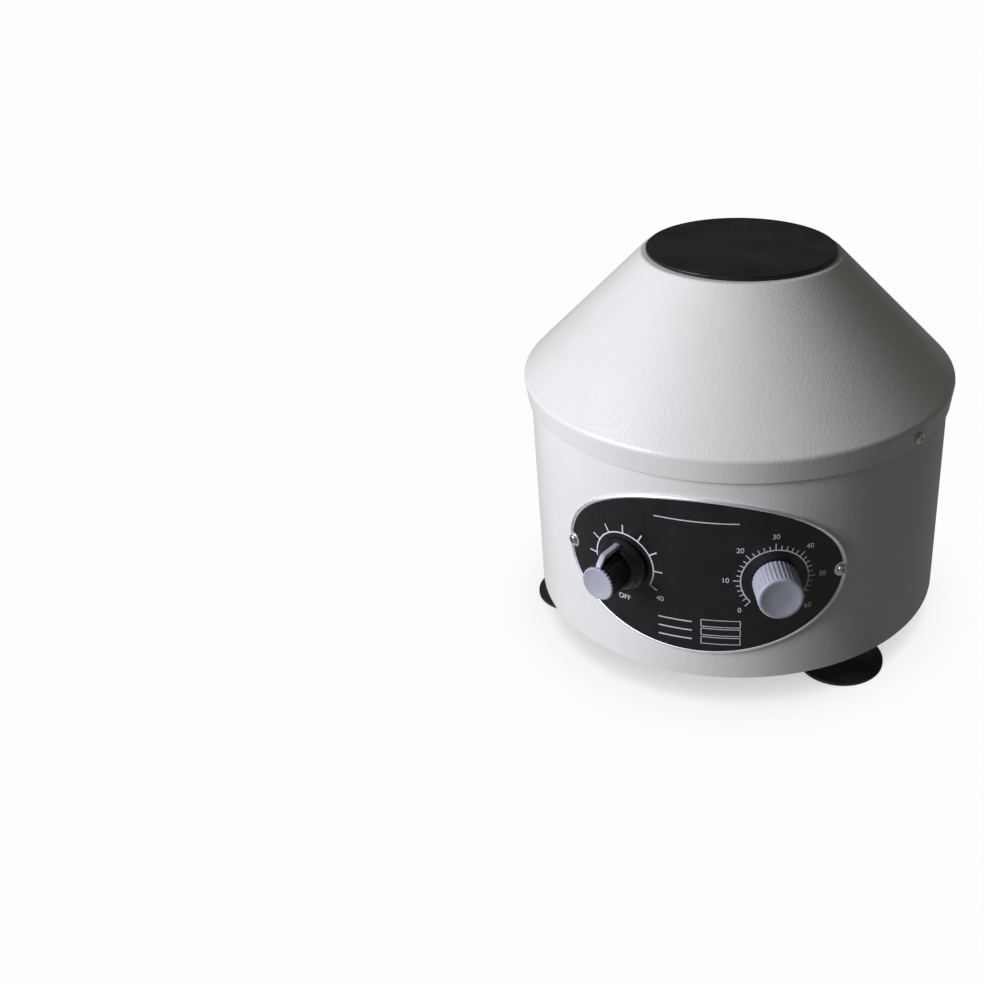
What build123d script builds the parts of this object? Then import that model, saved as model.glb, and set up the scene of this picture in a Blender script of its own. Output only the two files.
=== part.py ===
from build123d import *
import os
from math import cos, degrees, hypot, radians, sin, sqrt, tan

# Benchtop centrifuge: a six-place angle rotor in a round sheet-metal housing, driven from
# below by a series motor on rubber mounts. Millimetres, +Z up, the origin on the rotor's
# axis in the plane of the three feet, the control panel facing -Y.

os.makedirs("parts", exist_ok=True)

FROM_BASE = (Align.CENTER, Align.CENTER, Align.MIN)
TO_BASE = (Align.CENTER, Align.CENTER, Align.MAX)

# Housing shell and base
shell_radius = 110.0
shell_wall = 1.0
foot_height = 16.0
plate_thickness = 2.0
plate_gap = 2.8
plate_chamfer = 0.4
tab_length = 17.5
tab_sheet = 1.5
tab_height = 14.0
tab_span = 9.0
tab_corner = 3.0

# Top cover: a cone over a short skirt that laps the shell
cover_wall = 1.2
cone_angle = 45.0
crease_rise = 122.1
crease_overhang = 3.2
crease_round = 3.0
bend_inside = 0.5
skirt_drop = 12.0
skirt_overhang = 1.6
ledge_width = 7.5
ledge_round = 2.0
mouth_radius = 44.0
collar_depth = 7.8

# Lid
lid_radius = 48.8
lid_thickness = 1.6
lid_bevel = 0.5
lid_plug_gap = 0.4
lid_plug_wall = 3.0
lid_plug_depth = 6.8
gasket_thickness = 0.8
gasket_width = 2.8
gasket_inset = 1.0

# Fasteners
cover_screw_radius = 1.75
cover_screw_head = 3.0
cover_screw_drop = 7.1
cover_screw_length = 6.2
plate_screw_radius = 2.0
plate_screw_head = 4.0
plate_screw_length = 8.0
plate_screw_inset = 8.7
board_screw_radius = 1.5
board_screw_head = 2.75
board_screw_length = 7.0
pan_head_share = 0.7
screw_play = 0.25
drill_run = 5.0

# Places round the axis, in degrees from +X (the panel is at -90)
panel_angle = -90.0
mount_angle = -59.0
foot_angle = -43.0
cover_screw_angle = 150.0
board_angle = -115.4
inlet_angle = 90.0
fuse_angle = 70.0
terminal_angle = 12.0

# Suction feet
foot_circle = 91.0
foot_cup_radius = 22.5
foot_lip = 1.5
foot_neck_radius = 12.0
foot_hollow = 5.0
foot_flare_in = 1.0
foot_flare_down = 0.6
foot_stud_radius = 3.0
foot_stud_sink = 7.0
foot_nut_flats = 10.0
foot_nut_height = 5.0
foot_stud_end = 2.0

# Shock mounts
mount_circle = 56.0
mount_radius = 12.0
mount_waist = 1.5
mount_height = 18.0
mount_stud_radius = 4.0
mount_stud_sink = 6.0
mount_nut_flats = 13.0
mount_nut_height = 6.5
stud_end = 2.5
stud_chamfer = 0.8
motor_plate_thickness = 3.0
motor_plate_corner = 14.0
motor_plate_margin = 2.0
boss_play = 1.0

# Motor
motor_radius = 44.0
motor_wall = 4.0
lower_shield_height = 20.0
upper_shield_height = 14.0
shield_floor = 3.0
boss_floor = 2.0
boss_bore_gap = 2.0
bearing_proud = 1.0
core_height = 24.0
yoke_width = 6.0
bore_share = 0.575
pole_shoe = 3.7
pole_width = 14.0
neck_overlap = 1.0
pole_gap_angle = 38.0
coil_width = 8.0
coil_corner = 3.0
coil_gap = 0.6
coil_yoke_gap = 0.28
air_gap = 0.8
armature_slot_count = 12
slot_width = 3.0
slot_depth = 9.5
winding_overhang = 6.0
winding_recess = 1.5
winding_bore_gap = 2.5
winding_round = 2.0
bar_recess = 0.5
commutator_radius = 11.0
commutator_height = 10.0
commutator_gap = 1.0
commutator_slit = 0.6
commutator_slit_depth = 1.0
brush_size = 6.0
brush_angle = 90.0
brush_holder_wall = 1.5
holder_gap = 4.0
holder_proud = 2.0
brush_spring_room = 5.0
brush_gap = 0.3
bearing_radius = 11.0
bearing_height = 7.0
outer_race = 1.5
inner_race = 2.0
race_recess = 0.5
boss_wall = 3.0
shaft_radius = 4.0
shaft_shoulder = 5.0
shaft_fit = 0.05
shaft_chamfer = 0.8
shaft_tail = 0.5
shoulder_gap = 0.3
tie_screw_radius = 1.5
tie_angle = 45.0
vent_count = 8
vent_width = 9.0
vent_margin = 4.0
cooling_slot_width = 5.0

# Chamber pan
pan_gap = 2.0
pan_wall = 1.0
pan_top_gap = 1.1
pan_corner = 4.0
upstand_radius = 12.5
upstand_height = 6.0

# Rotor
cover_screw_count = 2
tube_count = 6
tube_angle = 45.0
tube_radius = 11.05
sleeve_bore = 11.2
sleeve_wall = 0.8
sleeve_lip = 2.0
sleeve_lip_height = 1.2
cushion_lift = 2.0
swing_clearance = 3.92
floor_clearance = 7.0
boss_length = 20.8
boss_rim = 3.5
sleeve_cut_below = 8.0
sleeve_cut_above = 22.0
dish_thickness = 6.0
dish_rim = 17.0
dish_edge = 2.5
dish_root_rise = 9.5
hub_radius = 13.0
hub_height = 26.0
hub_clearance = 9.0
hub_chamfer = 1.0
hub_overlap = 4.0
rib_thickness = 4.0
rib_depth = 8.0
rib_root = 2.0
rib_root_height = 12.0
rib_boss_overlap = 1.0
drive_collar_radius = 9.0
drive_collar_height = 6.5
drive_collar_chamfer = 1.0
washer_radius = 10.0
washer_thickness = 1.5
rotor_nut_flats = 13.0
rotor_nut_height = 6.5
shaft_top = 3.0

# Control panel
panel_rise = 57.5
panel_half_width = 73.9
panel_half_height = 43.0
faceplate_thickness = 1.0
overlay_thickness = 0.2
overlay_border = 1.4
panel_screw_inset = 3.05
panel_screw_radius = 1.5
panel_screw_head = 2.5
panel_screw_notch = 4.0
panel_screw_length = 8.0
knob_arc = 37.245

# Speed control
bush_end = 2.4
pot_bush_radius = 4.0
pot_radius = 12.0
pot_depth = 13.0
pot_seat = 2.0
bush_shoulder = 2.5
switch_radius = 11.0
switch_depth = 10.0
pot_nut_flats = 11.0
control_nut_height = 1.8
control_shaft_depth = 14.0
control_shaft_gap = 0.3
knob_shaft_radius = 3.0
speed_skirt_radius = 13.5
speed_skirt_height = 6.0
speed_skirt_taper = 6.0
speed_body_radius = 8.8
speed_body_height = 13.4
speed_body_taper = 1.5
speed_flute_count = 14
speed_flute_radius = 1.1
speed_flute_out = 0.4
speed_cap_radius = 8.6
speed_cap_height = 1.4
pointer_width = 2.2
pointer_inner = 7.0
pointer_setback = 0.5
pointer_sheet = 0.7
pointer_toe = 2.2
knob_gap = 0.7
knob_roof_gap = 0.4
knob_nut_room = 0.8
knob_shaft_grip = 12.0

# Timer
timer_bush_radius = 5.0
timer_radius = 23.0
timer_depth = 26.0
timer_nut_flats = 14.0
timer_knob_radius = 11.2
timer_knob_height = 15.5
timer_knob_taper = 1.0
timer_knob_bevel = 0.5
timer_knob_wall = 2.2
timer_flute_count = 30
timer_flute_radius = 0.55
timer_flute_start = 1.0

# Speed control board
board_distance = 68.9
board_width = 60.0
board_height = 40.0
board_thickness = 1.6
board_lift = 6.0
spacer_length = 4.0
spacer_radius = 3.0
spacer_inset = 5.0
bracket_sheet = 1.5
bracket_reach = 14.0
bracket_height = 38.0
board_screw_spacing = 44.2
board_screw_inset = 3.4
heatsink_depth = 14.0
heatsink_width = 20.0
heatsink_height = 24.0
heatsink_fin_count = 5
heatsink_back = 3.0
heatsink_place = -12.0
capacitor_radius = 6.0
capacitor_length = 16.0
capacitor_place = 15.0

# Supply inlet, fuse and terminals in the back
inlet_rise = 22.0
grommet_neck = 6.0
grommet_flange = 8.5
grommet_bore = 3.6
grommet_lip = 2.2
fuse_radius = 6.0
fuse_flange = 8.0
fuse_depth = 22.0
fuse_cap_radius = 7.0
fuse_cap_height = 8.0
fuse_cap_round = 1.0
fuse_slot_width = 1.6
fuse_slot_depth = 1.5
terminal_circle = 82.0
terminal_length = 36.0
terminal_width = 14.0
terminal_height = 13.0
terminal_way_count = 4
terminal_bore = 2.0
terminal_bore_depth = 6.0

# Heights and radii that follow from the sizes above
shell_inner = shell_radius - shell_wall
plate_radius = shell_inner - plate_gap
plate_top = foot_height + plate_thickness
crease_radius = shell_radius + crease_overhang
crease_height = foot_height + crease_rise
skirt_height = crease_height - skirt_drop
skirt_radius = shell_radius + skirt_overhang
cone_run = crease_radius - mouth_radius - ledge_width
ledge_height = crease_height + cone_run * tan(radians(cone_angle))
cover_screw_height = crease_height - cover_screw_drop
motor_plate_height = plate_top + mount_height
motor_base = motor_plate_height + motor_plate_thickness
core_base = motor_base + lower_shield_height
core_top = core_base + core_height
motor_top = core_top + upper_shield_height
bearing_pocket = bearing_radius + boss_wall
lower_bearing_base = motor_base - bearing_height + bearing_proud
upper_bearing_base = motor_top - bearing_height + bearing_proud
upper_boss_top = upper_bearing_base + bearing_height + boss_floor
pan_floor = upper_boss_top + pan_gap
pan_top = crease_height - pan_top_gap
sleeve_radius = sleeve_bore + sleeve_wall
swing_radius = shell_inner - pan_wall - swing_clearance - sleeve_radius
sleeve_base = pan_floor + pan_wall + floor_clearance + sleeve_radius
hub_base = pan_floor + pan_wall + hub_clearance
hub_top = hub_base + hub_height
nut_base = hub_top + washer_thickness
shaft_end = nut_base + rotor_nut_height + shaft_top
lean_in = sin(radians(tube_angle))
lean_up = cos(radians(tube_angle))
dish_root_radius = hub_radius - hub_overlap
dish_root_height = hub_base + dish_root_rise
dish_run = swing_radius - dish_root_radius
dish_lift = dish_run * lean_in + (dish_root_height - sleeve_base) * lean_up
boss_base = dish_lift - boss_length / 2
boss_top = dish_lift + boss_length / 2
sleeve_length = boss_top + sleeve_lip_height
panel_height = foot_height + panel_rise
plate_face = shell_radius + faceplate_thickness
panel_face = plate_face + overlay_thickness
inlet_height = foot_height + inlet_rise
knob_spread = degrees(knob_arc / shell_radius)
panel_screw_spread = degrees((panel_half_width - panel_screw_inset) / shell_radius)
speed_angle = panel_angle - knob_spread
timer_angle = panel_angle + knob_spread
plate_screw_circle = plate_radius - plate_screw_inset


def around(first, count=3):
    """Angles of equal places round the axis."""
    return [first + 360.0 * k / count for k in range(count)]


cover_screw_angles = around(cover_screw_angle, cover_screw_count)


def outward(angle, distance, height=0.0):
    """Plane square to a radius of the housing: x runs round it and y points up."""
    a = radians(angle)
    return Plane(
        origin=(distance * cos(a), distance * sin(a), height),
        x_dir=(-sin(a), cos(a), 0),
        z_dir=(cos(a), sin(a), 0),
    )


def downward(angle, distance, height):
    """Plane that faces the bench at a place round the axis."""
    a = radians(angle)
    return Plane(
        origin=(distance * cos(a), distance * sin(a), height),
        x_dir=(cos(a), sin(a), 0),
        z_dir=(0, 0, -1),
    )


def section(angle):
    """Plane through the axis: x runs out along a radius and y points up."""
    a = radians(angle)
    return Plane(origin=(0, 0, 0), x_dir=(cos(a), sin(a), 0), z_dir=(sin(a), -cos(a), 0))


def cone_height(radius, depth=0.0):
    """Height of the cover's cone at a radius, on the surface this deep in its sheet."""
    rise = (crease_radius - radius) * tan(radians(cone_angle))
    return crease_height + rise - depth / cos(radians(cone_angle))


def cone_radius(height, depth=0.0):
    """Radius of the cover's cone at a height, on the surface this deep in its sheet."""
    top = crease_height - depth / cos(radians(cone_angle))
    return crease_radius - (height - top) / tan(radians(cone_angle))


def skirt_plane(angle, height):
    """Plane that lies on the skirt, which leans out a little towards the crease."""
    lean = (crease_radius - skirt_radius) / (crease_height - skirt_height)
    radius = skirt_radius + lean * (height - skirt_height)
    a = radians(angle)
    return Plane(
        origin=(radius * cos(a), radius * sin(a), height),
        x_dir=(-sin(a), cos(a), 0),
        z_dir=(cos(a), sin(a), -lean),
    )


def tube_plane(angle, lift=0.0):
    """Plane square to a tube's axis, this far up it from the centre of its round bottom."""
    a = radians(angle)
    t = radians(tube_angle)
    radius = swing_radius - lift * sin(t)
    return Plane(
        origin=(radius * cos(a), radius * sin(a), sleeve_base + lift * cos(t)),
        x_dir=(-sin(a), cos(a), 0),
        z_dir=(-sin(t) * cos(a), -sin(t) * sin(a), cos(t)),
    )


def pan_screw(head_radius, shank_radius, shank_length):
    """Cross-head pan screw: its head seats on z = 0 and its shank points down."""
    head_height = pan_head_share * head_radius
    with BuildPart() as screw:
        Cylinder(head_radius, head_height, align=FROM_BASE)
        fillet(screw.edges().sort_by(Axis.Z)[-1], 0.6 * head_height)
        for turn in (0, 90):
            with Locations(Location((0, 0, head_height), (0, 0, turn))):
                Box(head_radius, 0.22 * head_radius, head_height, mode=Mode.SUBTRACT)
        Cylinder(shank_radius, shank_length, align=TO_BASE)
    return screw.part


def hex_nut(flats, height, bore_radius):
    """Plain hexagon nut that seats on z = 0."""
    with BuildPart() as nut:
        with BuildSketch():
            RegularPolygon(flats / 2, 6, major_radius=False)
            Circle(bore_radius, mode=Mode.SUBTRACT)
        extrude(amount=height)
    return nut.part


def panel_outline(border):
    """Points of the panel's ellipse, wrapped round the shell and seen from the front."""
    points = []
    for k in range(32):
        t = radians(360.0 * k / 32)
        arc = (panel_half_width - border) * cos(t) / shell_radius
        rise = (panel_half_height - border) * sin(t)
        points.append((shell_radius * sin(arc), panel_height + rise))
    return points


# Shell: the rolled cylinder, its top edge closed by the cone of the cover
with BuildPart() as shell:
    with BuildSketch(Plane.XZ):
        Polygon(
            (shell_inner, foot_height),
            (shell_radius, foot_height),
            (shell_radius, cone_height(shell_radius, cover_wall)),
            (shell_inner, cone_height(shell_inner, cover_wall)),
            align=None,
        )
    revolve(axis=Axis.Z)
    with Locations(outward(speed_angle, shell_inner - drill_run, panel_height)):
        Cylinder(pot_bush_radius + screw_play, 2 * drill_run, align=FROM_BASE, mode=Mode.SUBTRACT)
    with Locations(outward(timer_angle, shell_inner - drill_run, panel_height)):
        Cylinder(timer_bush_radius + screw_play, 2 * drill_run, align=FROM_BASE, mode=Mode.SUBTRACT)
    for side in (-1, 1):
        screw_angle = panel_angle + side * panel_screw_spread
        with Locations(outward(screw_angle, shell_inner - drill_run, panel_height)):
            Cylinder(panel_screw_radius, 2 * drill_run, align=FROM_BASE, mode=Mode.SUBTRACT)
    for angle in cover_screw_angles:
        with Locations(skirt_plane(angle, cover_screw_height)):
            Cylinder(cover_screw_radius + screw_play, 2 * drill_run, align=TO_BASE, mode=Mode.SUBTRACT)
    with Locations(outward(inlet_angle, shell_inner - drill_run, inlet_height)):
        Cylinder(grommet_neck, 2 * drill_run, align=FROM_BASE, mode=Mode.SUBTRACT)
    with Locations(outward(fuse_angle, shell_inner - drill_run, inlet_height)):
        Cylinder(fuse_radius, 2 * drill_run, align=FROM_BASE, mode=Mode.SUBTRACT)
shell.part.label = "shell"
export_step(shell.part, "parts/shell.step")

# Fixing tabs: bent lugs spot-welded inside the shell, which carry the base plate
with BuildPart() as fixing_tabs:
    for angle in around(mount_angle):
        with BuildSketch(section(angle - tab_span / 2)):
            Polygon(
                (shell_inner - tab_length, plate_top),
                (shell_inner, plate_top),
                (shell_inner, plate_top + tab_height),
                (shell_inner - tab_sheet, plate_top + tab_height),
                (shell_inner - tab_sheet, plate_top + tab_sheet),
                (shell_inner - tab_length, plate_top + tab_sheet),
                align=None,
            )
        revolve(axis=Axis.Z, revolution_arc=tab_span)
    fillet(
        fixing_tabs.edges()
        .filter_by(Axis.Z)
        .filter_by(lambda e: hypot(e.center().X, e.center().Y) < shell_inner - tab_length + 1),
        tab_corner,
    )
    with Locations(*[downward(a, plate_screw_circle, plate_top + drill_run) for a in around(mount_angle)]):
        Cylinder(plate_screw_radius, 2 * drill_run, align=FROM_BASE, mode=Mode.SUBTRACT)
fixing_tabs.part.label = "fixing_tabs"
export_step(fixing_tabs.part, "parts/fixing_tabs.step")

# Top cover: spun in one piece, cone, crease, skirt and the collar turned down at the mouth
collar_inner = mouth_radius + cover_wall
crease_inside = crease_round - cover_wall
with BuildPart() as top_cover:
    with BuildSketch(Plane.XZ):
        with BuildLine():
            FilletPolyline(
                (skirt_radius - cover_wall, skirt_height),
                (skirt_radius, skirt_height),
                (crease_radius, crease_height),
                (cone_radius(ledge_height), ledge_height),
                (mouth_radius, ledge_height),
                (mouth_radius, ledge_height - collar_depth),
                (collar_inner, ledge_height - collar_depth),
                (collar_inner, ledge_height - cover_wall),
                (cone_radius(ledge_height - cover_wall, cover_wall), ledge_height - cover_wall),
                (crease_radius - cover_wall, cone_height(crease_radius - cover_wall, cover_wall)),
                radius=(0, 0, crease_round, ledge_round, cover_wall, 0, 0, 0, bend_inside, crease_inside),
                close=True,
            )
        make_face()
    revolve(axis=Axis.Z)
    for angle in cover_screw_angles:
        with Locations(skirt_plane(angle, cover_screw_height)):
            Cylinder(cover_screw_radius + screw_play, 2 * drill_run, mode=Mode.SUBTRACT)
top_cover.part.label = "top_cover"
export_step(top_cover.part, "parts/top_cover.step")

# Cover screws: two pan heads through skirt, shell and pan
cover_screw = pan_screw(cover_screw_head, cover_screw_radius, cover_screw_length)
with BuildPart() as cover_screws:
    with Locations(*[skirt_plane(a, cover_screw_height) for a in cover_screw_angles]):
        add(cover_screw)
cover_screws.part.label = "cover_screws"
export_step(cover_screws.part, "parts/cover_screws.step")

# Lid: a flat disc with a plug ring that centres it in the mouth
lid_base = ledge_height + gasket_thickness
plug_radius = mouth_radius - lid_plug_gap
with BuildPart() as lid:
    with BuildSketch(Plane.XY.offset(lid_base)):
        Circle(lid_radius)
    extrude(amount=lid_thickness)
    chamfer(lid.edges().sort_by(Axis.Z)[-1], lid_bevel)
    with BuildSketch(Plane.XY.offset(ledge_height - lid_plug_depth)):
        Circle(plug_radius)
        Circle(plug_radius - lid_plug_wall, mode=Mode.SUBTRACT)
    extrude(amount=lid_plug_depth + gasket_thickness)
lid.part.label = "lid"
export_step(lid.part, "parts/lid.step")

# Lid gasket: the soft ring that the disc rests on
with BuildPart() as lid_gasket:
    with BuildSketch(Plane.XY.offset(ledge_height)):
        Circle(lid_radius - gasket_inset)
        Circle(lid_radius - gasket_inset - gasket_width, mode=Mode.SUBTRACT)
    extrude(amount=gasket_thickness)
lid_gasket.part.label = "lid_gasket"
export_step(lid_gasket.part, "parts/lid_gasket.step")

# Chamber pan: the tray under the rotor, with an upstand round the shaft
with BuildPart() as chamber_pan:
    with BuildSketch(Plane.XZ):
        with BuildLine():
            FilletPolyline(
                (upstand_radius, pan_floor),
                (shell_inner, pan_floor),
                (shell_inner, pan_top),
                (shell_inner - pan_wall, pan_top),
                (shell_inner - pan_wall, pan_floor + pan_wall),
                (upstand_radius + pan_wall, pan_floor + pan_wall),
                (upstand_radius + pan_wall, pan_floor + pan_wall + upstand_height),
                (upstand_radius, pan_floor + pan_wall + upstand_height),
                radius=(0, pan_corner, 0, 0, pan_corner - pan_wall, 0, 0, 0),
                close=True,
            )
        make_face()
    revolve(axis=Axis.Z)
    for angle in cover_screw_angles:
        with Locations(skirt_plane(angle, cover_screw_height)):
            Cylinder(cover_screw_radius, 2 * drill_run, align=TO_BASE, mode=Mode.SUBTRACT)
chamber_pan.part.label = "chamber_pan"
export_step(chamber_pan.part, "parts/chamber_pan.step")

# Base plate: carries the motor, the feet and the board, held up by the shell's tabs
board_screw_distance = board_distance - board_screw_inset
board_screw_places = [
    outward(board_angle, board_screw_distance, plate_top).location
    * Location((side * board_screw_spacing / 2, 0, 0), (90, 0, 0))
    for side in (-1, 1)
]
with BuildPart() as base_plate:
    with BuildSketch(Plane.XY.offset(foot_height)):
        Circle(plate_radius)
    extrude(amount=plate_thickness)
    chamfer(base_plate.edges().group_by(Axis.Z)[0], plate_chamfer)
    with Locations(*[downward(a, plate_screw_circle, foot_height) for a in around(mount_angle)]):
        Cylinder(plate_screw_radius + screw_play, 2 * drill_run, mode=Mode.SUBTRACT)
    with Locations(*[downward(a, mount_circle, foot_height) for a in around(mount_angle)]):
        Cylinder(mount_stud_radius + screw_play, 2 * drill_run, mode=Mode.SUBTRACT)
    with Locations(*[downward(a, foot_circle, foot_height) for a in around(foot_angle)]):
        Cylinder(foot_stud_radius + screw_play, 2 * drill_run, mode=Mode.SUBTRACT)
    with Locations(*board_screw_places):
        Cylinder(board_screw_radius + screw_play, 2 * drill_run, mode=Mode.SUBTRACT)
base_plate.part.label = "base_plate"
export_step(base_plate.part, "parts/base_plate.step")

# Plate screws: from below into the tabs
plate_screw = pan_screw(plate_screw_head, plate_screw_radius, plate_screw_length)
with BuildPart() as plate_screws:
    with Locations(*[downward(a, plate_screw_circle, foot_height) for a in around(mount_angle)]):
        add(plate_screw)
plate_screws.part.label = "plate_screws"
export_step(plate_screws.part, "parts/plate_screws.step")

# Feet: rubber suction cups on a neck
foot_flare_radius = (foot_cup_radius + foot_neck_radius) / 2 - foot_flare_in
with BuildPart() as foot:
    with BuildSketch(Plane.XZ):
        with BuildLine():
            Polyline((foot_cup_radius - foot_lip, 0), (foot_cup_radius, 0), (foot_cup_radius, foot_lip))
            ThreePointArc(
                (foot_cup_radius, foot_lip),
                (foot_flare_radius, 0.3 * foot_height - foot_flare_down),
                (foot_neck_radius, 0.6 * foot_height),
            )
            Polyline(
                (foot_neck_radius, 0.6 * foot_height),
                (foot_neck_radius, foot_height),
                (foot_stud_radius, foot_height),
                (foot_stud_radius, foot_height - foot_stud_sink),
                (0, foot_height - foot_stud_sink),
                (0, foot_hollow),
            )
            ThreePointArc(
                (0, foot_hollow),
                (0.55 * foot_cup_radius, 0.7 * foot_hollow),
                (foot_cup_radius - foot_lip, 0),
            )
        make_face()
    revolve(axis=Axis.Z)
with BuildPart() as feet:
    with PolarLocations(foot_circle, 3, start_angle=foot_angle):
        add(foot.part)
feet.part.label = "feet"
export_step(feet.part, "parts/feet.step")

# Foot studs and the nuts that draw them up on the plate
foot_stud_top = plate_top + foot_nut_height + foot_stud_end
with BuildPart() as foot_studs:
    with BuildSketch(Plane.XY.offset(foot_height - foot_stud_sink)):
        with PolarLocations(foot_circle, 3, start_angle=foot_angle):
            Circle(foot_stud_radius)
    extrude(amount=foot_stud_top - foot_height + foot_stud_sink)
foot_studs.part.label = "foot_studs"
export_step(foot_studs.part, "parts/foot_studs.step")

foot_nut = hex_nut(foot_nut_flats, foot_nut_height, foot_stud_radius)
with BuildPart() as foot_nuts:
    with Locations((0, 0, plate_top)):
        with PolarLocations(foot_circle, 3, start_angle=foot_angle):
            add(foot_nut)
foot_nuts.part.label = "foot_nuts"
export_step(foot_nuts.part, "parts/foot_nuts.step")

# Shock mounts: waisted rubber between the base plate and the motor plate
mount_middle = mount_height / 2
with BuildPart() as motor_mount:
    with BuildSketch(Plane.XZ):
        with BuildLine():
            Polyline((mount_radius, mount_height), (0, mount_height), (0, 0), (mount_radius, 0))
            ThreePointArc(
                (mount_radius, 0), (mount_radius - mount_waist, mount_middle), (mount_radius, mount_height)
            )
        make_face()
    revolve(axis=Axis.Z)
    Cylinder(mount_stud_radius, mount_stud_sink, align=FROM_BASE, mode=Mode.SUBTRACT)
    with Locations((0, 0, mount_height)):
        Cylinder(mount_stud_radius, mount_stud_sink, align=TO_BASE, mode=Mode.SUBTRACT)
with BuildPart() as motor_mounts:
    with Locations((0, 0, plate_top)):
        with PolarLocations(mount_circle, 3, start_angle=mount_angle):
            add(motor_mount.part)
motor_mounts.part.label = "motor_mounts"
export_step(motor_mounts.part, "parts/motor_mounts.step")

# Mount studs: one down through the base plate and one up through the motor plate
lower_stud_length = mount_stud_sink + plate_thickness + mount_nut_height + stud_end
upper_stud_length = mount_stud_sink + motor_plate_thickness + mount_nut_height + stud_end
with BuildPart() as mount_studs:
    with Locations((0, 0, plate_top + mount_stud_sink)):
        with PolarLocations(mount_circle, 3, start_angle=mount_angle):
            Cylinder(mount_stud_radius, lower_stud_length, align=TO_BASE)
    with Locations((0, 0, motor_plate_height - mount_stud_sink)):
        with PolarLocations(mount_circle, 3, start_angle=mount_angle):
            Cylinder(mount_stud_radius, upper_stud_length, align=FROM_BASE)
    chamfer(mount_studs.edges().group_by(Axis.Z)[0], stud_chamfer)
mount_studs.part.label = "mount_studs"
export_step(mount_studs.part, "parts/mount_studs.step")

mount_nut = hex_nut(mount_nut_flats, mount_nut_height, mount_stud_radius)
with BuildPart() as mount_nuts:
    with Locations((0, 0, foot_height - mount_nut_height), (0, 0, motor_base)):
        with PolarLocations(mount_circle, 3, start_angle=mount_angle):
            add(mount_nut)
mount_nuts.part.label = "mount_nuts"
export_step(mount_nuts.part, "parts/mount_nuts.step")

# Motor plate: a rounded triangle over the three mounts
tie_circle = motor_radius - motor_wall / 2
with BuildPart() as motor_plate:
    with BuildSketch(Plane.XY.offset(motor_plate_height)):
        Circle(motor_radius + motor_plate_margin)
        with PolarLocations(mount_circle, 3, start_angle=mount_angle):
            Circle(motor_plate_corner)
        make_hull()
        Circle(bearing_pocket + boss_play, mode=Mode.SUBTRACT)
        with PolarLocations(mount_circle, 3, start_angle=mount_angle):
            Circle(mount_stud_radius + screw_play, mode=Mode.SUBTRACT)
        with PolarLocations(tie_circle, 4, start_angle=tie_angle):
            Circle(tie_screw_radius, mode=Mode.SUBTRACT)
    extrude(amount=motor_plate_thickness)
motor_plate.part.label = "motor_plate"
export_step(motor_plate.part, "parts/motor_plate.step")

# Lower end shield: bearing boss below, brush windows and vents in its wall
shield_inner = motor_radius - motor_wall
brush_height = motor_base + shield_floor + commutator_gap + commutator_height / 2
holder_size = brush_size + 2 * brush_holder_wall
boss_bore = shaft_radius + boss_bore_gap
with BuildPart() as lower_shield:
    with BuildSketch(Plane.XZ):
        Polygon(
            (boss_bore, lower_bearing_base - boss_floor),
            (bearing_pocket, lower_bearing_base - boss_floor),
            (bearing_pocket, motor_base),
            (motor_radius, motor_base),
            (motor_radius, core_base),
            (shield_inner, core_base),
            (shield_inner, motor_base + shield_floor),
            (bearing_radius, motor_base + shield_floor),
            (bearing_radius, lower_bearing_base),
            (boss_bore, lower_bearing_base),
            align=None,
        )
    revolve(axis=Axis.Z)
    with Locations(*[outward(a, shield_inner - drill_run, brush_height) for a in around(brush_angle, 2)]):
        Box(holder_size, holder_size, motor_wall + 2 * drill_run, align=FROM_BASE, mode=Mode.SUBTRACT)
    vent_middle = core_base - vent_margin - vent_width / 2
    vent_angles = around(tie_angle / 2, vent_count)
    with Locations(*[outward(a, shield_inner - drill_run, vent_middle) for a in vent_angles]):
        Box(vent_width, vent_width, motor_wall + 2 * drill_run, align=FROM_BASE, mode=Mode.SUBTRACT)
    with PolarLocations(tie_circle, 4, start_angle=tie_angle):
        Cylinder(tie_screw_radius, 2 * motor_top, mode=Mode.SUBTRACT)
lower_shield.part.label = "lower_shield"
export_step(lower_shield.part, "parts/lower_shield.step")

# Upper end shield: the second bearing, with slots for the cooling air
with BuildPart() as upper_shield:
    with BuildSketch(Plane.XZ):
        Polygon(
            (motor_radius, core_top),
            (motor_radius, motor_top),
            (bearing_pocket, motor_top),
            (bearing_pocket, upper_boss_top),
            (boss_bore, upper_boss_top),
            (boss_bore, upper_bearing_base + bearing_height),
            (bearing_radius, upper_bearing_base + bearing_height),
            (bearing_radius, upper_bearing_base),
            (bearing_pocket, upper_bearing_base),
            (bearing_pocket, motor_top - shield_floor),
            (shield_inner, motor_top - shield_floor),
            (shield_inner, core_top),
            align=None,
        )
    revolve(axis=Axis.Z)
    slot_middle = (shield_inner + bearing_pocket) / 2
    with BuildSketch(Plane.XY.offset(motor_top)):
        with PolarLocations(slot_middle, vent_count):
            SlotOverall(shield_inner - bearing_pocket - 2 * vent_margin, cooling_slot_width)
    extrude(amount=-shield_floor, mode=Mode.SUBTRACT)
    with PolarLocations(tie_circle, 4, start_angle=tie_angle):
        Cylinder(tie_screw_radius, 2 * motor_top, mode=Mode.SUBTRACT)
upper_shield.part.label = "upper_shield"
export_step(upper_shield.part, "parts/upper_shield.step")

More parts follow.
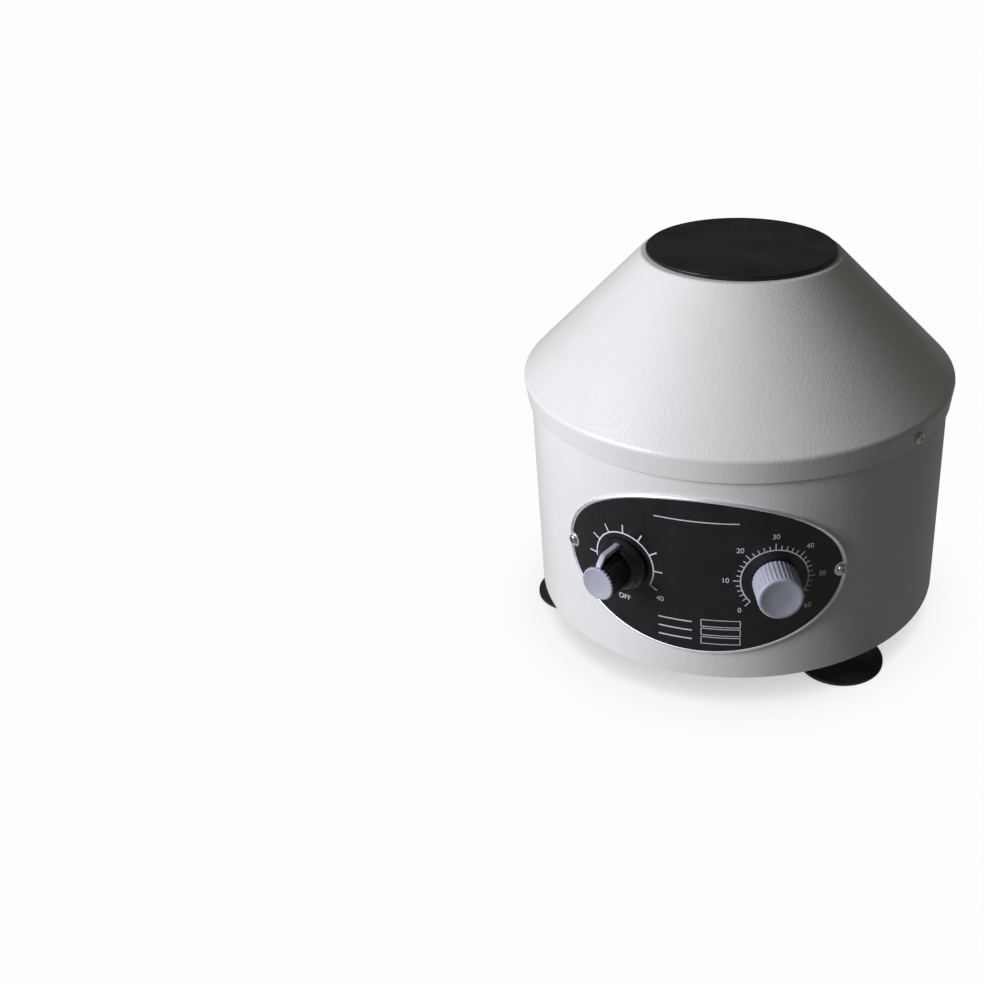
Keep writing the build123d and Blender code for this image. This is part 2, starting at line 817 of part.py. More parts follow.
# Stator core: yoke ring with two salient poles
yoke_inner = motor_radius - yoke_width
coil_reach = sqrt((yoke_inner - coil_yoke_gap) ** 2 - (pole_width / 2 + coil_width) ** 2)
pole_radius = bore_share * motor_radius
shoe_radius = pole_radius + pole_shoe
coil_depth = coil_reach - shoe_radius - coil_gap
with BuildPart() as stator_core:
    with BuildSketch(Plane.XY.offset(core_base)):
        Circle(motor_radius)
        Circle(yoke_inner, mode=Mode.SUBTRACT)
        with PolarLocations(tie_circle, 4, start_angle=tie_angle):
            Circle(tie_screw_radius, mode=Mode.SUBTRACT)
    with BuildSketch(Plane.XY.offset(core_base)):
        Circle(shoe_radius)
        Circle(pole_radius, mode=Mode.SUBTRACT)
        gap_x = 2 * motor_radius * sin(radians(pole_gap_angle))
        gap_y = 2 * motor_radius * cos(radians(pole_gap_angle))
        for side in (-1, 1):
            Polygon((0, 0), (gap_x, side * gap_y), (-gap_x, side * gap_y), align=None, mode=Mode.SUBTRACT)
        neck_start = sqrt(shoe_radius**2 - (pole_width / 2) ** 2) - neck_overlap
        neck_end = yoke_inner + neck_overlap
        with Locations(((neck_start + neck_end) / 2, 0), (-(neck_start + neck_end) / 2, 0)):
            Rectangle(neck_end - neck_start, pole_width)
    extrude(amount=core_height)
stator_core.part.label = "stator_core"
export_step(stator_core.part, "parts/stator_core.step")

# Field coils: one wound round the neck of each pole
core_middle = core_base + core_height / 2
coil_middle = shoe_radius + coil_gap + coil_depth / 2
with BuildPart() as field_coils:
    for side in (-1, 1):
        with Locations((side * coil_middle, 0, core_middle)):
            Box(coil_depth, pole_width + 2 * coil_width, core_height + 2 * coil_width)
            Box(coil_depth, pole_width, core_height, mode=Mode.SUBTRACT)
    corners = field_coils.edges().filter_by(Axis.X).filter_by(lambda e: abs(e.center().Y) > pole_width)
    fillet(corners, coil_corner)
field_coils.part.label = "field_coils"
export_step(field_coils.part, "parts/field_coils.step")

# Bearings: one in each end shield
for name, base in (("lower_bearing", lower_bearing_base), ("upper_bearing", upper_bearing_base)):
    with BuildPart() as bearing:
        with BuildSketch(Plane.XY.offset(base)):
            Circle(bearing_radius)
            Circle(shaft_radius + shaft_fit, mode=Mode.SUBTRACT)
        extrude(amount=bearing_height)
        with BuildSketch(Plane.XY.offset(base + bearing_height)):
            Circle(bearing_radius - outer_race)
            Circle(shaft_radius + inner_race, mode=Mode.SUBTRACT)
        extrude(amount=-race_recess, mode=Mode.SUBTRACT)
    bearing.part.label = name
    export_step(bearing.part, f"parts/{name}.step")

# Tie screws: hold the shields, the core and the motor plate together
tie_length = motor_top - motor_plate_height
tie_screw = pan_screw(2 * tie_screw_radius, tie_screw_radius, tie_length)
with BuildPart() as tie_screws:
    with Locations((0, 0, motor_top)):
        with PolarLocations(tie_circle, 4, start_angle=tie_angle):
            add(tie_screw)
tie_screws.part.label = "tie_screws"
export_step(tie_screws.part, "parts/tie_screws.step")

# Motor shaft: shouldered between the bearings and carried up through the pan
shoulder_base = lower_bearing_base + bearing_height + shoulder_gap
shoulder_top = upper_bearing_base - shoulder_gap
with BuildPart() as motor_shaft:
    with BuildSketch(Plane.XZ):
        Polygon(
            (0, lower_bearing_base - shaft_tail),
            (shaft_radius, lower_bearing_base - shaft_tail),
            (shaft_radius, shoulder_base),
            (shaft_shoulder, shoulder_base),
            (shaft_shoulder, shoulder_top),
            (shaft_radius, shoulder_top),
            (shaft_radius, shaft_end - shaft_chamfer),
            (shaft_radius - shaft_chamfer, shaft_end),
            (0, shaft_end),
            align=None,
        )
    revolve(axis=Axis.Z)
motor_shaft.part.label = "motor_shaft"
export_step(motor_shaft.part, "parts/motor_shaft.step")

# Armature core: slotted laminations on the shaft
armature_radius = pole_radius - air_gap
slot_floor = armature_radius - slot_depth
with BuildPart() as armature_core:
    with BuildSketch(Plane.XY.offset(core_base)):
        Circle(armature_radius)
        Circle(shaft_shoulder, mode=Mode.SUBTRACT)
        with PolarLocations(slot_floor + slot_depth, armature_slot_count):
            Rectangle(2 * slot_depth, slot_width, mode=Mode.SUBTRACT)
    extrude(amount=core_height)
armature_core.part.label = "armature_core"
export_step(armature_core.part, "parts/armature_core.step")

# Armature windings: bars in the slots, joined by the wound ends
winding_inner = shaft_shoulder + winding_bore_gap
winding_outer = armature_radius - winding_recess
bar_outer = winding_outer - bar_recess
with BuildPart() as armature_windings:
    with BuildSketch(Plane.XY.offset(core_base)):
        with PolarLocations((slot_floor + bar_outer) / 2, armature_slot_count):
            Rectangle(bar_outer - slot_floor, slot_width)
    extrude(amount=core_height)
    for base in (core_base - winding_overhang, core_top):
        with BuildSketch(Plane.XY.offset(base)):
            Circle(winding_outer)
            Circle(winding_inner, mode=Mode.SUBTRACT)
        extrude(amount=winding_overhang)
    ends = armature_windings.edges().filter_by(GeomType.CIRCLE)
    fillet(ends.group_by(Axis.Z)[0].sort_by(SortBy.LENGTH)[-1:], winding_round)
    fillet(ends.group_by(Axis.Z)[-1].sort_by(SortBy.LENGTH)[-1:], winding_round)
armature_windings.part.label = "armature_windings"
export_step(armature_windings.part, "parts/armature_windings.step")

# Commutator: copper bars below the windings
commutator_base = brush_height - commutator_height / 2
with BuildPart() as commutator:
    with BuildSketch(Plane.XY.offset(commutator_base)):
        Circle(commutator_radius)
        Circle(shaft_shoulder, mode=Mode.SUBTRACT)
        with PolarLocations(commutator_radius, armature_slot_count):
            Rectangle(2 * commutator_slit_depth, commutator_slit, mode=Mode.SUBTRACT)
    extrude(amount=core_base - winding_overhang - commutator_base)
commutator.part.label = "commutator"
export_step(commutator.part, "parts/commutator.step")

# Brush holders: brass boxes through the lower shield, and the carbon brushes in them
holder_start = commutator_radius + holder_gap
holder_end = motor_radius + holder_proud
with BuildPart() as brush_holders:
    with Locations(*[outward(a, holder_start, brush_height) for a in around(brush_angle, 2)]):
        Box(holder_size, holder_size, holder_end - holder_start, align=FROM_BASE)
        Box(brush_size, brush_size, motor_radius - holder_start, align=FROM_BASE, mode=Mode.SUBTRACT)
brush_holders.part.label = "brush_holders"
export_step(brush_holders.part, "parts/brush_holders.step")

with BuildPart() as brushes:
    with Locations(*[outward(a, 0, brush_height) for a in around(brush_angle, 2)]):
        Box(brush_size, brush_size, motor_radius - brush_spring_room, align=FROM_BASE)
    with Locations((0, 0, brush_height)):
        Cylinder(commutator_radius + brush_gap, 2 * brush_size, mode=Mode.SUBTRACT)
brushes.part.label = "brushes"
export_step(brushes.part, "parts/brushes.step")

# Drive collar: the rotor's seat on the shaft
with BuildPart() as drive_collar:
    with BuildSketch(Plane.XY.offset(hub_base - drive_collar_height)):
        Circle(drive_collar_radius)
        Circle(shaft_radius, mode=Mode.SUBTRACT)
    extrude(amount=drive_collar_height)
    chamfer(drive_collar.edges().group_by(Axis.Z)[0].sort_by(SortBy.LENGTH)[-1:], drive_collar_chamfer)
drive_collar.part.label = "drive_collar"
export_step(drive_collar.part, "parts/drive_collar.step")

# Rotor head: a cast dish whose wall stands square to the tubes, with a boss for each sleeve,
# a hub on the shaft and a rib from the hub to each boss
half_dish = dish_thickness / 2
dish_root = (dish_lift * lean_in - dish_run) / lean_up


def dish_point(along, across):
    """Point of the dish's section: along its wall from the boss, and across the wall."""
    radius = swing_radius - (dish_lift + across) * lean_in + along * lean_up
    height = sleeve_base + (dish_lift + across) * lean_up + along * lean_in
    return (radius, height)


with BuildPart() as rotor_head:
    with BuildSketch(Plane.XZ):
        with BuildLine():
            FilletPolyline(
                dish_point(dish_root, -half_dish),
                dish_point(dish_rim, -half_dish),
                dish_point(dish_rim, half_dish),
                dish_point(dish_root, half_dish),
                radius=(0, dish_edge, dish_edge, 0),
                close=True,
            )
        make_face()
    revolve(axis=Axis.Z)
    with BuildSketch(Plane.XY.offset(hub_base)):
        Circle(hub_radius)
    extrude(amount=hub_height)
    chamfer(rotor_head.edges().filter_by(GeomType.CIRCLE).group_by(Axis.Z)[0], hub_chamfer)
    for angle in around(panel_angle, tube_count):
        with BuildSketch(tube_plane(angle, boss_base)):
            Circle(sleeve_radius + boss_rim)
        extrude(amount=boss_length)
        with BuildSketch(section(angle).offset(-rib_thickness / 2)):
            Polygon(
                (hub_radius - rib_root, hub_base + rib_root),
                dish_point(-sleeve_radius - rib_boss_overlap, -half_dish - rib_depth),
                dish_point(-sleeve_radius - rib_boss_overlap, 0),
                (hub_radius - rib_root, hub_base + rib_root + rib_root_height),
                align=None,
            )
        extrude(amount=rib_thickness)
    for angle in around(panel_angle, tube_count):
        with BuildSketch(tube_plane(angle, boss_base - sleeve_cut_below)):
            Circle(sleeve_radius)
        extrude(amount=sleeve_cut_below + boss_length + sleeve_cut_above, mode=Mode.SUBTRACT)
    Cylinder(shaft_radius, 4 * hub_top, mode=Mode.SUBTRACT)
rotor_head.part.label = "rotor_head"
export_step(rotor_head.part, "parts/rotor_head.step")

# Tube sleeves: drawn cups with a rolled lip that rests on the boss
with BuildPart() as tube_sleeve:
    with BuildSketch(Plane.XZ):
        with BuildLine():
            ThreePointArc(
                (0, -sleeve_radius),
                (sleeve_radius * sin(radians(45)), -sleeve_radius * cos(radians(45))),
                (sleeve_radius, 0),
            )
            Polyline(
                (sleeve_radius, 0),
                (sleeve_radius, boss_top),
                (sleeve_radius + sleeve_lip, boss_top),
                (sleeve_radius + sleeve_lip, sleeve_length),
                (sleeve_bore, sleeve_length),
                (sleeve_bore, 0),
            )
            ThreePointArc(
                (sleeve_bore, 0),
                (sleeve_bore * sin(radians(45)), -sleeve_bore * cos(radians(45))),
                (0, -sleeve_bore),
            )
            Line((0, -sleeve_bore), (0, -sleeve_radius))
        make_face()
    revolve(axis=Axis.Z)
with BuildPart() as tube_sleeves:
    with Locations(*[tube_plane(a) for a in around(panel_angle, tube_count)]):
        add(tube_sleeve.part)
tube_sleeves.part.label = "tube_sleeves"
export_step(tube_sleeves.part, "parts/tube_sleeves.step")

# Tube cushions: rubber pads shaped to the round bottom of a tube
with BuildPart() as tube_cushion:
    with BuildSketch(Plane.XZ):
        with BuildLine():
            ThreePointArc(
                (0, -sleeve_bore),
                (sleeve_bore * sin(radians(45)), -sleeve_bore * cos(radians(45))),
                (sleeve_bore, 0),
            )
            cushion_edge = sqrt(tube_radius**2 - cushion_lift**2)
            Line((sleeve_bore, 0), (cushion_edge, 0))
            ThreePointArc(
                (cushion_edge, 0),
                (tube_radius * sin(radians(40)), cushion_lift - tube_radius * cos(radians(40))),
                (0, cushion_lift - tube_radius),
            )
            Line((0, cushion_lift - tube_radius), (0, -sleeve_bore))
        make_face()
    revolve(axis=Axis.Z)
with BuildPart() as tube_cushions:
    with Locations(*[tube_plane(a) for a in around(panel_angle, tube_count)]):
        add(tube_cushion.part)
tube_cushions.part.label = "tube_cushions"
export_step(tube_cushions.part, "parts/tube_cushions.step")

# Rotor washer and nut on the end of the shaft
with BuildPart() as rotor_washer:
    with BuildSketch(Plane.XY.offset(hub_top)):
        Circle(washer_radius)
        Circle(shaft_radius, mode=Mode.SUBTRACT)
    extrude(amount=washer_thickness)
rotor_washer.part.label = "rotor_washer"
export_step(rotor_washer.part, "parts/rotor_washer.step")

plain_rotor_nut = hex_nut(rotor_nut_flats, rotor_nut_height, shaft_radius)
with BuildPart() as rotor_nut:
    with Locations((0, 0, nut_base)):
        add(plain_rotor_nut)
rotor_nut.part.label = "rotor_nut"
export_step(rotor_nut.part, "parts/rotor_nut.step")

# Faceplate: an ellipse of aluminium bent round the shell
control_bushes = ((speed_angle, pot_bush_radius), (timer_angle, timer_bush_radius))
panel_screw_angles = (panel_angle - panel_screw_spread, panel_angle + panel_screw_spread)
with BuildPart() as faceplate:
    with BuildSketch(Plane.XZ.offset(shell_radius / 2)):
        with BuildLine():
            Spline(*panel_outline(0.0), periodic=True)
        make_face()
    extrude(amount=shell_radius)
    with BuildSketch(Plane.XY.offset(panel_height - 2 * panel_half_height)):
        Circle(plate_face)
        Circle(shell_radius, mode=Mode.SUBTRACT)
    extrude(amount=4 * panel_half_height, mode=Mode.INTERSECT)
    for angle, radius in control_bushes:
        with Locations(outward(angle, shell_radius, panel_height)):
            Cylinder(radius + screw_play, 4 * drill_run, mode=Mode.SUBTRACT)
    with Locations(*[outward(a, shell_radius, panel_height) for a in panel_screw_angles]):
        Cylinder(panel_screw_radius + screw_play, 4 * drill_run, mode=Mode.SUBTRACT)
faceplate.part.label = "faceplate"
export_step(faceplate.part, "parts/faceplate.step")

# Overlay: the black film on the faceplate, notched round the two screws
with BuildPart() as faceplate_overlay:
    with BuildSketch(Plane.XZ.offset(shell_radius / 2)):
        with BuildLine():
            Spline(*panel_outline(overlay_border), periodic=True)
        make_face()
    extrude(amount=shell_radius)
    with BuildSketch(Plane.XY.offset(panel_height - 2 * panel_half_height)):
        Circle(panel_face)
        Circle(plate_face, mode=Mode.SUBTRACT)
    extrude(amount=4 * panel_half_height, mode=Mode.INTERSECT)
    for angle, radius in control_bushes:
        with Locations(outward(angle, shell_radius, panel_height)):
            Cylinder(radius + screw_play, 4 * drill_run, mode=Mode.SUBTRACT)
    with Locations(*[outward(a, shell_radius, panel_height) for a in panel_screw_angles]):
        Cylinder(panel_screw_notch, 4 * drill_run, mode=Mode.SUBTRACT)
faceplate_overlay.part.label = "faceplate_overlay"
export_step(faceplate_overlay.part, "parts/faceplate_overlay.step")

panel_screw = pan_screw(panel_screw_head, panel_screw_radius, panel_screw_length)
with BuildPart() as faceplate_screws:
    with Locations(*[outward(a, plate_face, panel_height) for a in panel_screw_angles]):
        add(panel_screw)
faceplate_screws.part.label = "faceplate_screws"
export_step(faceplate_screws.part, "parts/faceplate_screws.step")


def control_body(angle, radius, depth, bush_radius):
    """Body of a panel control: round case, a shoulder that fits the shell, and the bush."""
    seat = shell_inner - pot_seat
    with BuildPart() as body:
        with Locations(outward(angle, seat, panel_height)):
            Cylinder(radius, depth, align=TO_BASE)
            Cylinder(bush_radius + bush_shoulder, 2 * pot_seat, align=FROM_BASE)
        with BuildSketch(Plane.XY.offset(panel_height - 2 * radius)):
            Circle(2 * shell_radius)
            Circle(shell_inner, mode=Mode.SUBTRACT)
        extrude(amount=4 * radius, mode=Mode.SUBTRACT)
        with Locations(outward(angle, seat, panel_height)):
            Cylinder(bush_radius, panel_face + bush_end - seat, align=FROM_BASE)
        with Locations(outward(angle, panel_face + bush_end, panel_height)):
            Cylinder(knob_shaft_radius + shaft_fit, control_shaft_depth, align=TO_BASE, mode=Mode.SUBTRACT)
    return body.part


# Speed control: a potentiometer with its switch behind it
pot_case = control_body(speed_angle, pot_radius, pot_depth, pot_bush_radius)
with BuildPart() as speed_pot:
    add(pot_case)
    with Locations(outward(speed_angle, shell_inner - pot_seat - pot_depth, panel_height)):
        Cylinder(switch_radius, switch_depth, align=TO_BASE)
speed_pot.part.label = "speed_pot"
export_step(speed_pot.part, "parts/speed_pot.step")

pot_nut = hex_nut(pot_nut_flats, control_nut_height, pot_bush_radius)
with BuildPart() as speed_pot_nut:
    with Locations(outward(speed_angle, panel_face, panel_height)):
        add(pot_nut)
speed_pot_nut.part.label = "speed_pot_nut"
export_step(speed_pot_nut.part, "parts/speed_pot_nut.step")

knob_base = panel_face + knob_gap
pot_nut_room = pot_nut_flats / sqrt(3) + knob_nut_room
knob_hollow = panel_face + bush_end + knob_roof_gap
shaft_inner = panel_face + bush_end - control_shaft_depth + control_shaft_gap
with BuildPart() as speed_shaft:
    with Locations(outward(speed_angle, shaft_inner, panel_height)):
        Cylinder(knob_shaft_radius, knob_hollow + knob_shaft_grip - shaft_inner, align=FROM_BASE)
speed_shaft.part.label = "speed_shaft"
export_step(speed_shaft.part, "parts/speed_shaft.step")

# Speed knob: a fluted black body on a round skirt, slotted for the pointer
skirt_top = knob_base + speed_skirt_height
body_top = skirt_top + speed_body_height
flute_start = 90 + 180 / speed_flute_count
skirt_rim = speed_skirt_radius - speed_skirt_height * tan(radians(speed_skirt_taper))
with BuildPart() as speed_knob:
    with BuildSketch(outward(speed_angle, knob_base, panel_height)):
        Circle(speed_skirt_radius)
    extrude(amount=speed_skirt_height, taper=speed_skirt_taper)
    with BuildSketch(outward(speed_angle, skirt_top, panel_height)):
        Circle(speed_body_radius)
    extrude(amount=speed_body_height, taper=speed_body_taper)
    with BuildSketch(outward(speed_angle, skirt_top, panel_height)):
        with PolarLocations(speed_body_radius + speed_flute_out, speed_flute_count, start_angle=flute_start):
            Circle(speed_flute_radius)
    extrude(amount=speed_body_height, mode=Mode.SUBTRACT)
    with BuildSketch(outward(speed_angle, skirt_top, panel_height)):
        with Locations((0, pointer_inner)):
            Rectangle(pointer_width, speed_skirt_radius, align=(Align.CENTER, Align.MIN))
    extrude(amount=speed_body_height, mode=Mode.SUBTRACT)
    with Locations(outward(speed_angle, knob_base, panel_height)):
        Cylinder(pot_nut_room, knob_hollow - knob_base, align=FROM_BASE, mode=Mode.SUBTRACT)
    with Locations(outward(speed_angle, knob_hollow, panel_height)):
        Cylinder(knob_shaft_radius, knob_shaft_grip, align=FROM_BASE, mode=Mode.SUBTRACT)
speed_knob.part.label = "speed_knob"
export_step(speed_knob.part, "parts/speed_knob.step")

# Speed knob cap: the light disc, one piece with the pointer that runs down the flank
with BuildPart() as speed_knob_cap:
    with BuildSketch(outward(speed_angle, body_top, panel_height)):
        Circle(speed_cap_radius)
        with PolarLocations(speed_cap_radius + speed_flute_out, speed_flute_count, start_angle=flute_start):
            Circle(speed_flute_radius, mode=Mode.SUBTRACT)
    extrude(amount=speed_cap_height)
    pointer_plane = Plane(
        origin=outward(speed_angle, 0, panel_height).origin,
        x_dir=outward(speed_angle, 0).z_dir,
        z_dir=-outward(speed_angle, 0).x_dir,
    )
    with BuildSketch(pointer_plane.offset(-pointer_width / 2)):
        Polygon(
            (skirt_top, pointer_inner),
            (skirt_top, skirt_rim - pointer_setback),
            (skirt_top + pointer_sheet, skirt_rim - pointer_setback),
            (skirt_top + pointer_toe, speed_body_radius + pointer_setback),
            (body_top + speed_cap_height, speed_cap_radius),
            (body_top + speed_cap_height, pointer_inner),
            align=None,
        )
    extrude(amount=pointer_width)
speed_knob_cap.part.label = "speed_knob_cap"
export_step(speed_knob_cap.part, "parts/speed_knob_cap.step")

# Timer: a round clockwork case behind the panel
timer_case = control_body(timer_angle, timer_radius, timer_depth, timer_bush_radius)
with BuildPart() as timer_body:
    add(timer_case)
timer_body.part.label = "timer_body"
export_step(timer_body.part, "parts/timer_body.step")

plain_timer_nut = hex_nut(timer_nut_flats, control_nut_height, timer_bush_radius)
with BuildPart() as timer_nut:
    with Locations(outward(timer_angle, panel_face, panel_height)):
        add(plain_timer_nut)
timer_nut.part.label = "timer_nut"
export_step(timer_nut.part, "parts/timer_nut.step")

timer_grip = timer_knob_height - (knob_hollow - knob_base) - timer_knob_wall
with BuildPart() as timer_shaft:
    with Locations(outward(timer_angle, shaft_inner, panel_height)):
        Cylinder(knob_shaft_radius, knob_hollow + timer_grip - shaft_inner, align=FROM_BASE)
timer_shaft.part.label = "timer_shaft"
export_step(timer_shaft.part, "parts/timer_shaft.step")

# Timer knob: one light moulding, finely fluted
timer_nut_room = timer_nut_flats / sqrt(3) + knob_nut_room
timer_knob_top = timer_knob_radius - timer_knob_height * tan(radians(timer_knob_taper))
with BuildPart() as timer_blank:
    with BuildSketch(Plane.XZ):
        Polygon(
            (0, 0),
            (timer_knob_radius, 0),
            (timer_knob_top, timer_knob_height - timer_knob_bevel),
            (timer_knob_top - timer_knob_bevel, timer_knob_height),
            (0, timer_knob_height),
            align=None,
        )
    revolve(axis=Axis.Z)
with BuildPart() as timer_knob:
    with Locations(outward(timer_angle, knob_base, panel_height)):
        add(timer_blank.part)
    with BuildSketch(outward(timer_angle, knob_base + timer_flute_start, panel_height)):
        with PolarLocations(timer_knob_radius, timer_flute_count):
            Circle(timer_flute_radius)
    extrude(amount=timer_knob_height, mode=Mode.SUBTRACT)
    with Locations(outward(timer_angle, knob_base, panel_height)):
        Cylinder(timer_nut_room, knob_hollow - knob_base, align=FROM_BASE, mode=Mode.SUBTRACT)
    with Locations(outward(timer_angle, knob_hollow, panel_height)):
        Cylinder(knob_shaft_radius, timer_grip, align=FROM_BASE, mode=Mode.SUBTRACT)
timer_knob.part.label = "timer_knob"
export_step(timer_knob.part, "parts/timer_knob.step")

# Board bracket: a bent angle on the base plate
bracket_back = board_distance + board_thickness + spacer_length
board_middle = plate_top + board_lift + board_height / 2
with BuildPart() as board_bracket:
    with BuildSketch(section(board_angle).offset(-board_width / 2)):
        with BuildLine():
            FilletPolyline(
                (bracket_back + bracket_sheet - bracket_reach, plate_top),
                (bracket_back + bracket_sheet, plate_top),
                (bracket_back + bracket_sheet, plate_top + bracket_height),
                (bracket_back, plate_top + bracket_height),
                (bracket_back, plate_top + bracket_sheet),
                (bracket_back + bracket_sheet - bracket_reach, plate_top + bracket_sheet),
                radius=(0, 2 * bracket_sheet, 0, 0, bracket_sheet, 0),
                close=True,
            )
        make_face()
    extrude(amount=board_width)
    with Locations(*board_screw_places):
        Cylinder(board_screw_radius, 2 * drill_run, mode=Mode.SUBTRACT)
board_bracket.part.label = "board_bracket"
export_step(board_bracket.part, "parts/board_bracket.step")

# Board screws: from below through the base plate into the bracket
board_screw = pan_screw(board_screw_head, board_screw_radius, board_screw_length)
with BuildPart() as board_screws:
    with Locations(*[place * Location((0, 0, plate_thickness)) for place in board_screw_places]):
        add(board_screw)
board_screws.part.label = "board_screws"
export_step(board_screws.part, "parts/board_screws.step")

# Control board and its spacers
with BuildPart() as control_board:
    with Locations(outward(board_angle, board_distance, board_middle)):
        Box(board_width, board_height, board_thickness, align=FROM_BASE)
control_board.part.label = "control_board"
export_step(control_board.part, "parts/control_board.step")

spacer_height = plate_top + (board_lift + bracket_height) / 2
spacer_span = bracket_height - board_lift - 2 * spacer_inset
with BuildPart() as board_spacers:
    with Locations(outward(board_angle, board_distance + board_thickness, spacer_height)):
        with GridLocations(board_width - 2 * spacer_inset, spacer_span, 2, 2):
            Cylinder(spacer_radius, spacer_length, align=FROM_BASE)
board_spacers.part.label = "board_spacers"
export_step(board_spacers.part, "parts/board_spacers.step")

with BuildPart() as board_heatsink:
    fin_pitch = heatsink_width / (heatsink_fin_count - 0.5)
    with Locations(outward(board_angle, board_distance, board_middle)):
        with Locations((heatsink_place, 0, 0)):
            Box(heatsink_width, heatsink_height, heatsink_back, align=TO_BASE)
            with GridLocations(fin_pitch, 1, heatsink_fin_count, 1):
                Box(fin_pitch / 2, heatsink_height, heatsink_depth, align=TO_BASE)
board_heatsink.part.label = "board_heatsink"
export_step(board_heatsink.part, "parts/board_heatsink.step")

with BuildPart() as board_capacitor:
    with Locations(outward(board_angle, board_distance, board_middle)):
        with Locations((capacitor_place, 0, 0)):
            Cylinder(capacitor_radius, capacitor_length, align=TO_BASE)
board_capacitor.part.label = "board_capacitor"
export_step(board_capacitor.part, "parts/board_capacitor.step")

# Terminal block on the base plate
with BuildPart() as terminal_block:
    with Locations(outward(terminal_angle, terminal_circle, plate_top + terminal_height / 2)):
        Box(terminal_length, terminal_height, terminal_width)
    with Locations(downward(terminal_angle, terminal_circle, plate_top + terminal_height)):
        with GridLocations(1, terminal_length / terminal_way_count, 1, terminal_way_count):
            Cylinder(terminal_bore, terminal_bore_depth, align=FROM_BASE, mode=Mode.SUBTRACT)
terminal_block.part.label = "terminal_block"
export_step(terminal_block.part, "parts/terminal_block.step")

# Cable grommet: the rubber bush of the supply inlet
with BuildPart() as cable_grommet:
    with Locations(outward(inlet_angle, shell_inner - grommet_lip, inlet_height)):
        Cylinder(grommet_flange, shell_wall + 2 * grommet_lip, align=FROM_BASE)
    with BuildSketch(Plane.XY.offset(inlet_height - 2 * grommet_flange)):
        Circle(shell_radius)
        Circle(shell_inner, mode=Mode.SUBTRACT)
    extrude(amount=4 * grommet_flange, mode=Mode.SUBTRACT)
    with Locations(outward(inlet_angle, shell_inner - grommet_lip, inlet_height)):
        Cylinder(grommet_neck, shell_wall + 2 * grommet_lip, align=FROM_BASE)
        Cylinder(grommet_bore, shell_wall + 2 * grommet_lip, align=FROM_BASE, mode=Mode.SUBTRACT)
cable_grommet.part.label = "cable_grommet"
export_step(cable_grommet.part, "parts/cable_grommet.step")

# Fuse holder and its screw cap
fuse_face = shell_radius + grommet_lip
with BuildPart() as fuse_holder:
    with Locations(outward(fuse_angle, fuse_face, inlet_height)):
        Cylinder(fuse_flange, grommet_lip + 1, align=TO_BASE)
    with BuildSketch(Plane.XY.offset(inlet_height - 2 * fuse_flange)):
        Circle(shell_radius)
    extrude(amount=4 * fuse_flange, mode=Mode.SUBTRACT)
    with Locations(outward(fuse_angle, fuse_face, inlet_height)):
        Cylinder(fuse_radius, fuse_depth + shell_wall + grommet_lip, align=TO_BASE)
fuse_holder.part.label = "fuse_holder"
export_step(fuse_holder.part, "parts/fuse_holder.step")

with BuildPart() as fuse_cap:
    with Locations(outward(fuse_angle, fuse_face, inlet_height)):
        Cylinder(fuse_cap_radius, fuse_cap_height, align=FROM_BASE)
    fuse_front = outward(fuse_angle, 0).z_dir
    rims = fuse_cap.edges().filter_by(GeomType.CIRCLE)
    fillet(rims.sort_by(Axis((0, 0, 0), fuse_front))[-1], fuse_cap_round)
    with Locations(outward(fuse_angle, fuse_face + fuse_cap_height, inlet_height)):
        Box(fuse_slot_width, fuse_cap_radius, 2 * fuse_slot_depth, mode=Mode.SUBTRACT)
fuse_cap.part.label = "fuse_cap"
export_step(fuse_cap.part, "parts/fuse_cap.step")
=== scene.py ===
"""Looks of a benchtop centrifuge: finishes, cover, knobs, panel print, camera and studio light.

Everything is in metres in the object's own frame: +Z up along the rotor's axis, the feet on
z = 0 and the control panel facing -Y. Sizes in the classes below are in millimetres.
"""
import logging
from collections.abc import Callable
from dataclasses import dataclass, field
from enum import Enum
from math import cos, degrees, pi, radians, sin, tan

import bmesh
import bpy
from mathutils import Matrix, Vector


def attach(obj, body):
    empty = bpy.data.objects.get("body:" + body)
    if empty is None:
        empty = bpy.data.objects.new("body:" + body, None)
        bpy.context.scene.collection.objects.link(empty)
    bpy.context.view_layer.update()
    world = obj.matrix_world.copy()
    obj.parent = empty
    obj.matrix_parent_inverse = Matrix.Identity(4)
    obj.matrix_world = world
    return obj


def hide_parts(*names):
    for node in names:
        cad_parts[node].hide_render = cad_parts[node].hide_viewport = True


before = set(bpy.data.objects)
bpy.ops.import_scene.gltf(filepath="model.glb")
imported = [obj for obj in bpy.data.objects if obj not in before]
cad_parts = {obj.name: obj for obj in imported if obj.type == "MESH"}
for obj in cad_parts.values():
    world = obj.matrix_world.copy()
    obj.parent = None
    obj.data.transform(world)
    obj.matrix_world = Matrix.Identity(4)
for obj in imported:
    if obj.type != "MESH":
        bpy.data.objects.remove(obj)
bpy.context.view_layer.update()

MM = 0.001
# Noise values between which the second tone fades in, and between which the gloss changes.
CLOUD_SPAN = (0.38, 0.64)
GLOSS_SPAN = (0.3, 0.7)
# The gloss changes over somewhat smaller patches than the tone.
GLOSS_SHARE = 0.6
# A wave texture of scale 1 repeats after about this length, in metres.
WAVE_LENGTH = 0.31
# Edges that turn less than this are shaded as one curve.
SMOOTH_ANGLE = radians(32)
# An edge that runs less than this along X, in millimetres, is taken as lying across it.
NEAR = 0.01
# A face whose normal has more than this along +Z is taken as facing up.
UPWARD = 0.9
log = logging.getLogger("centrifuge")


class Pick(Enum):
    """What an operator in edit mode is to act on."""

    POINTS = "VERT"
    EDGES = "EDGE"
    FACES = "FACE"


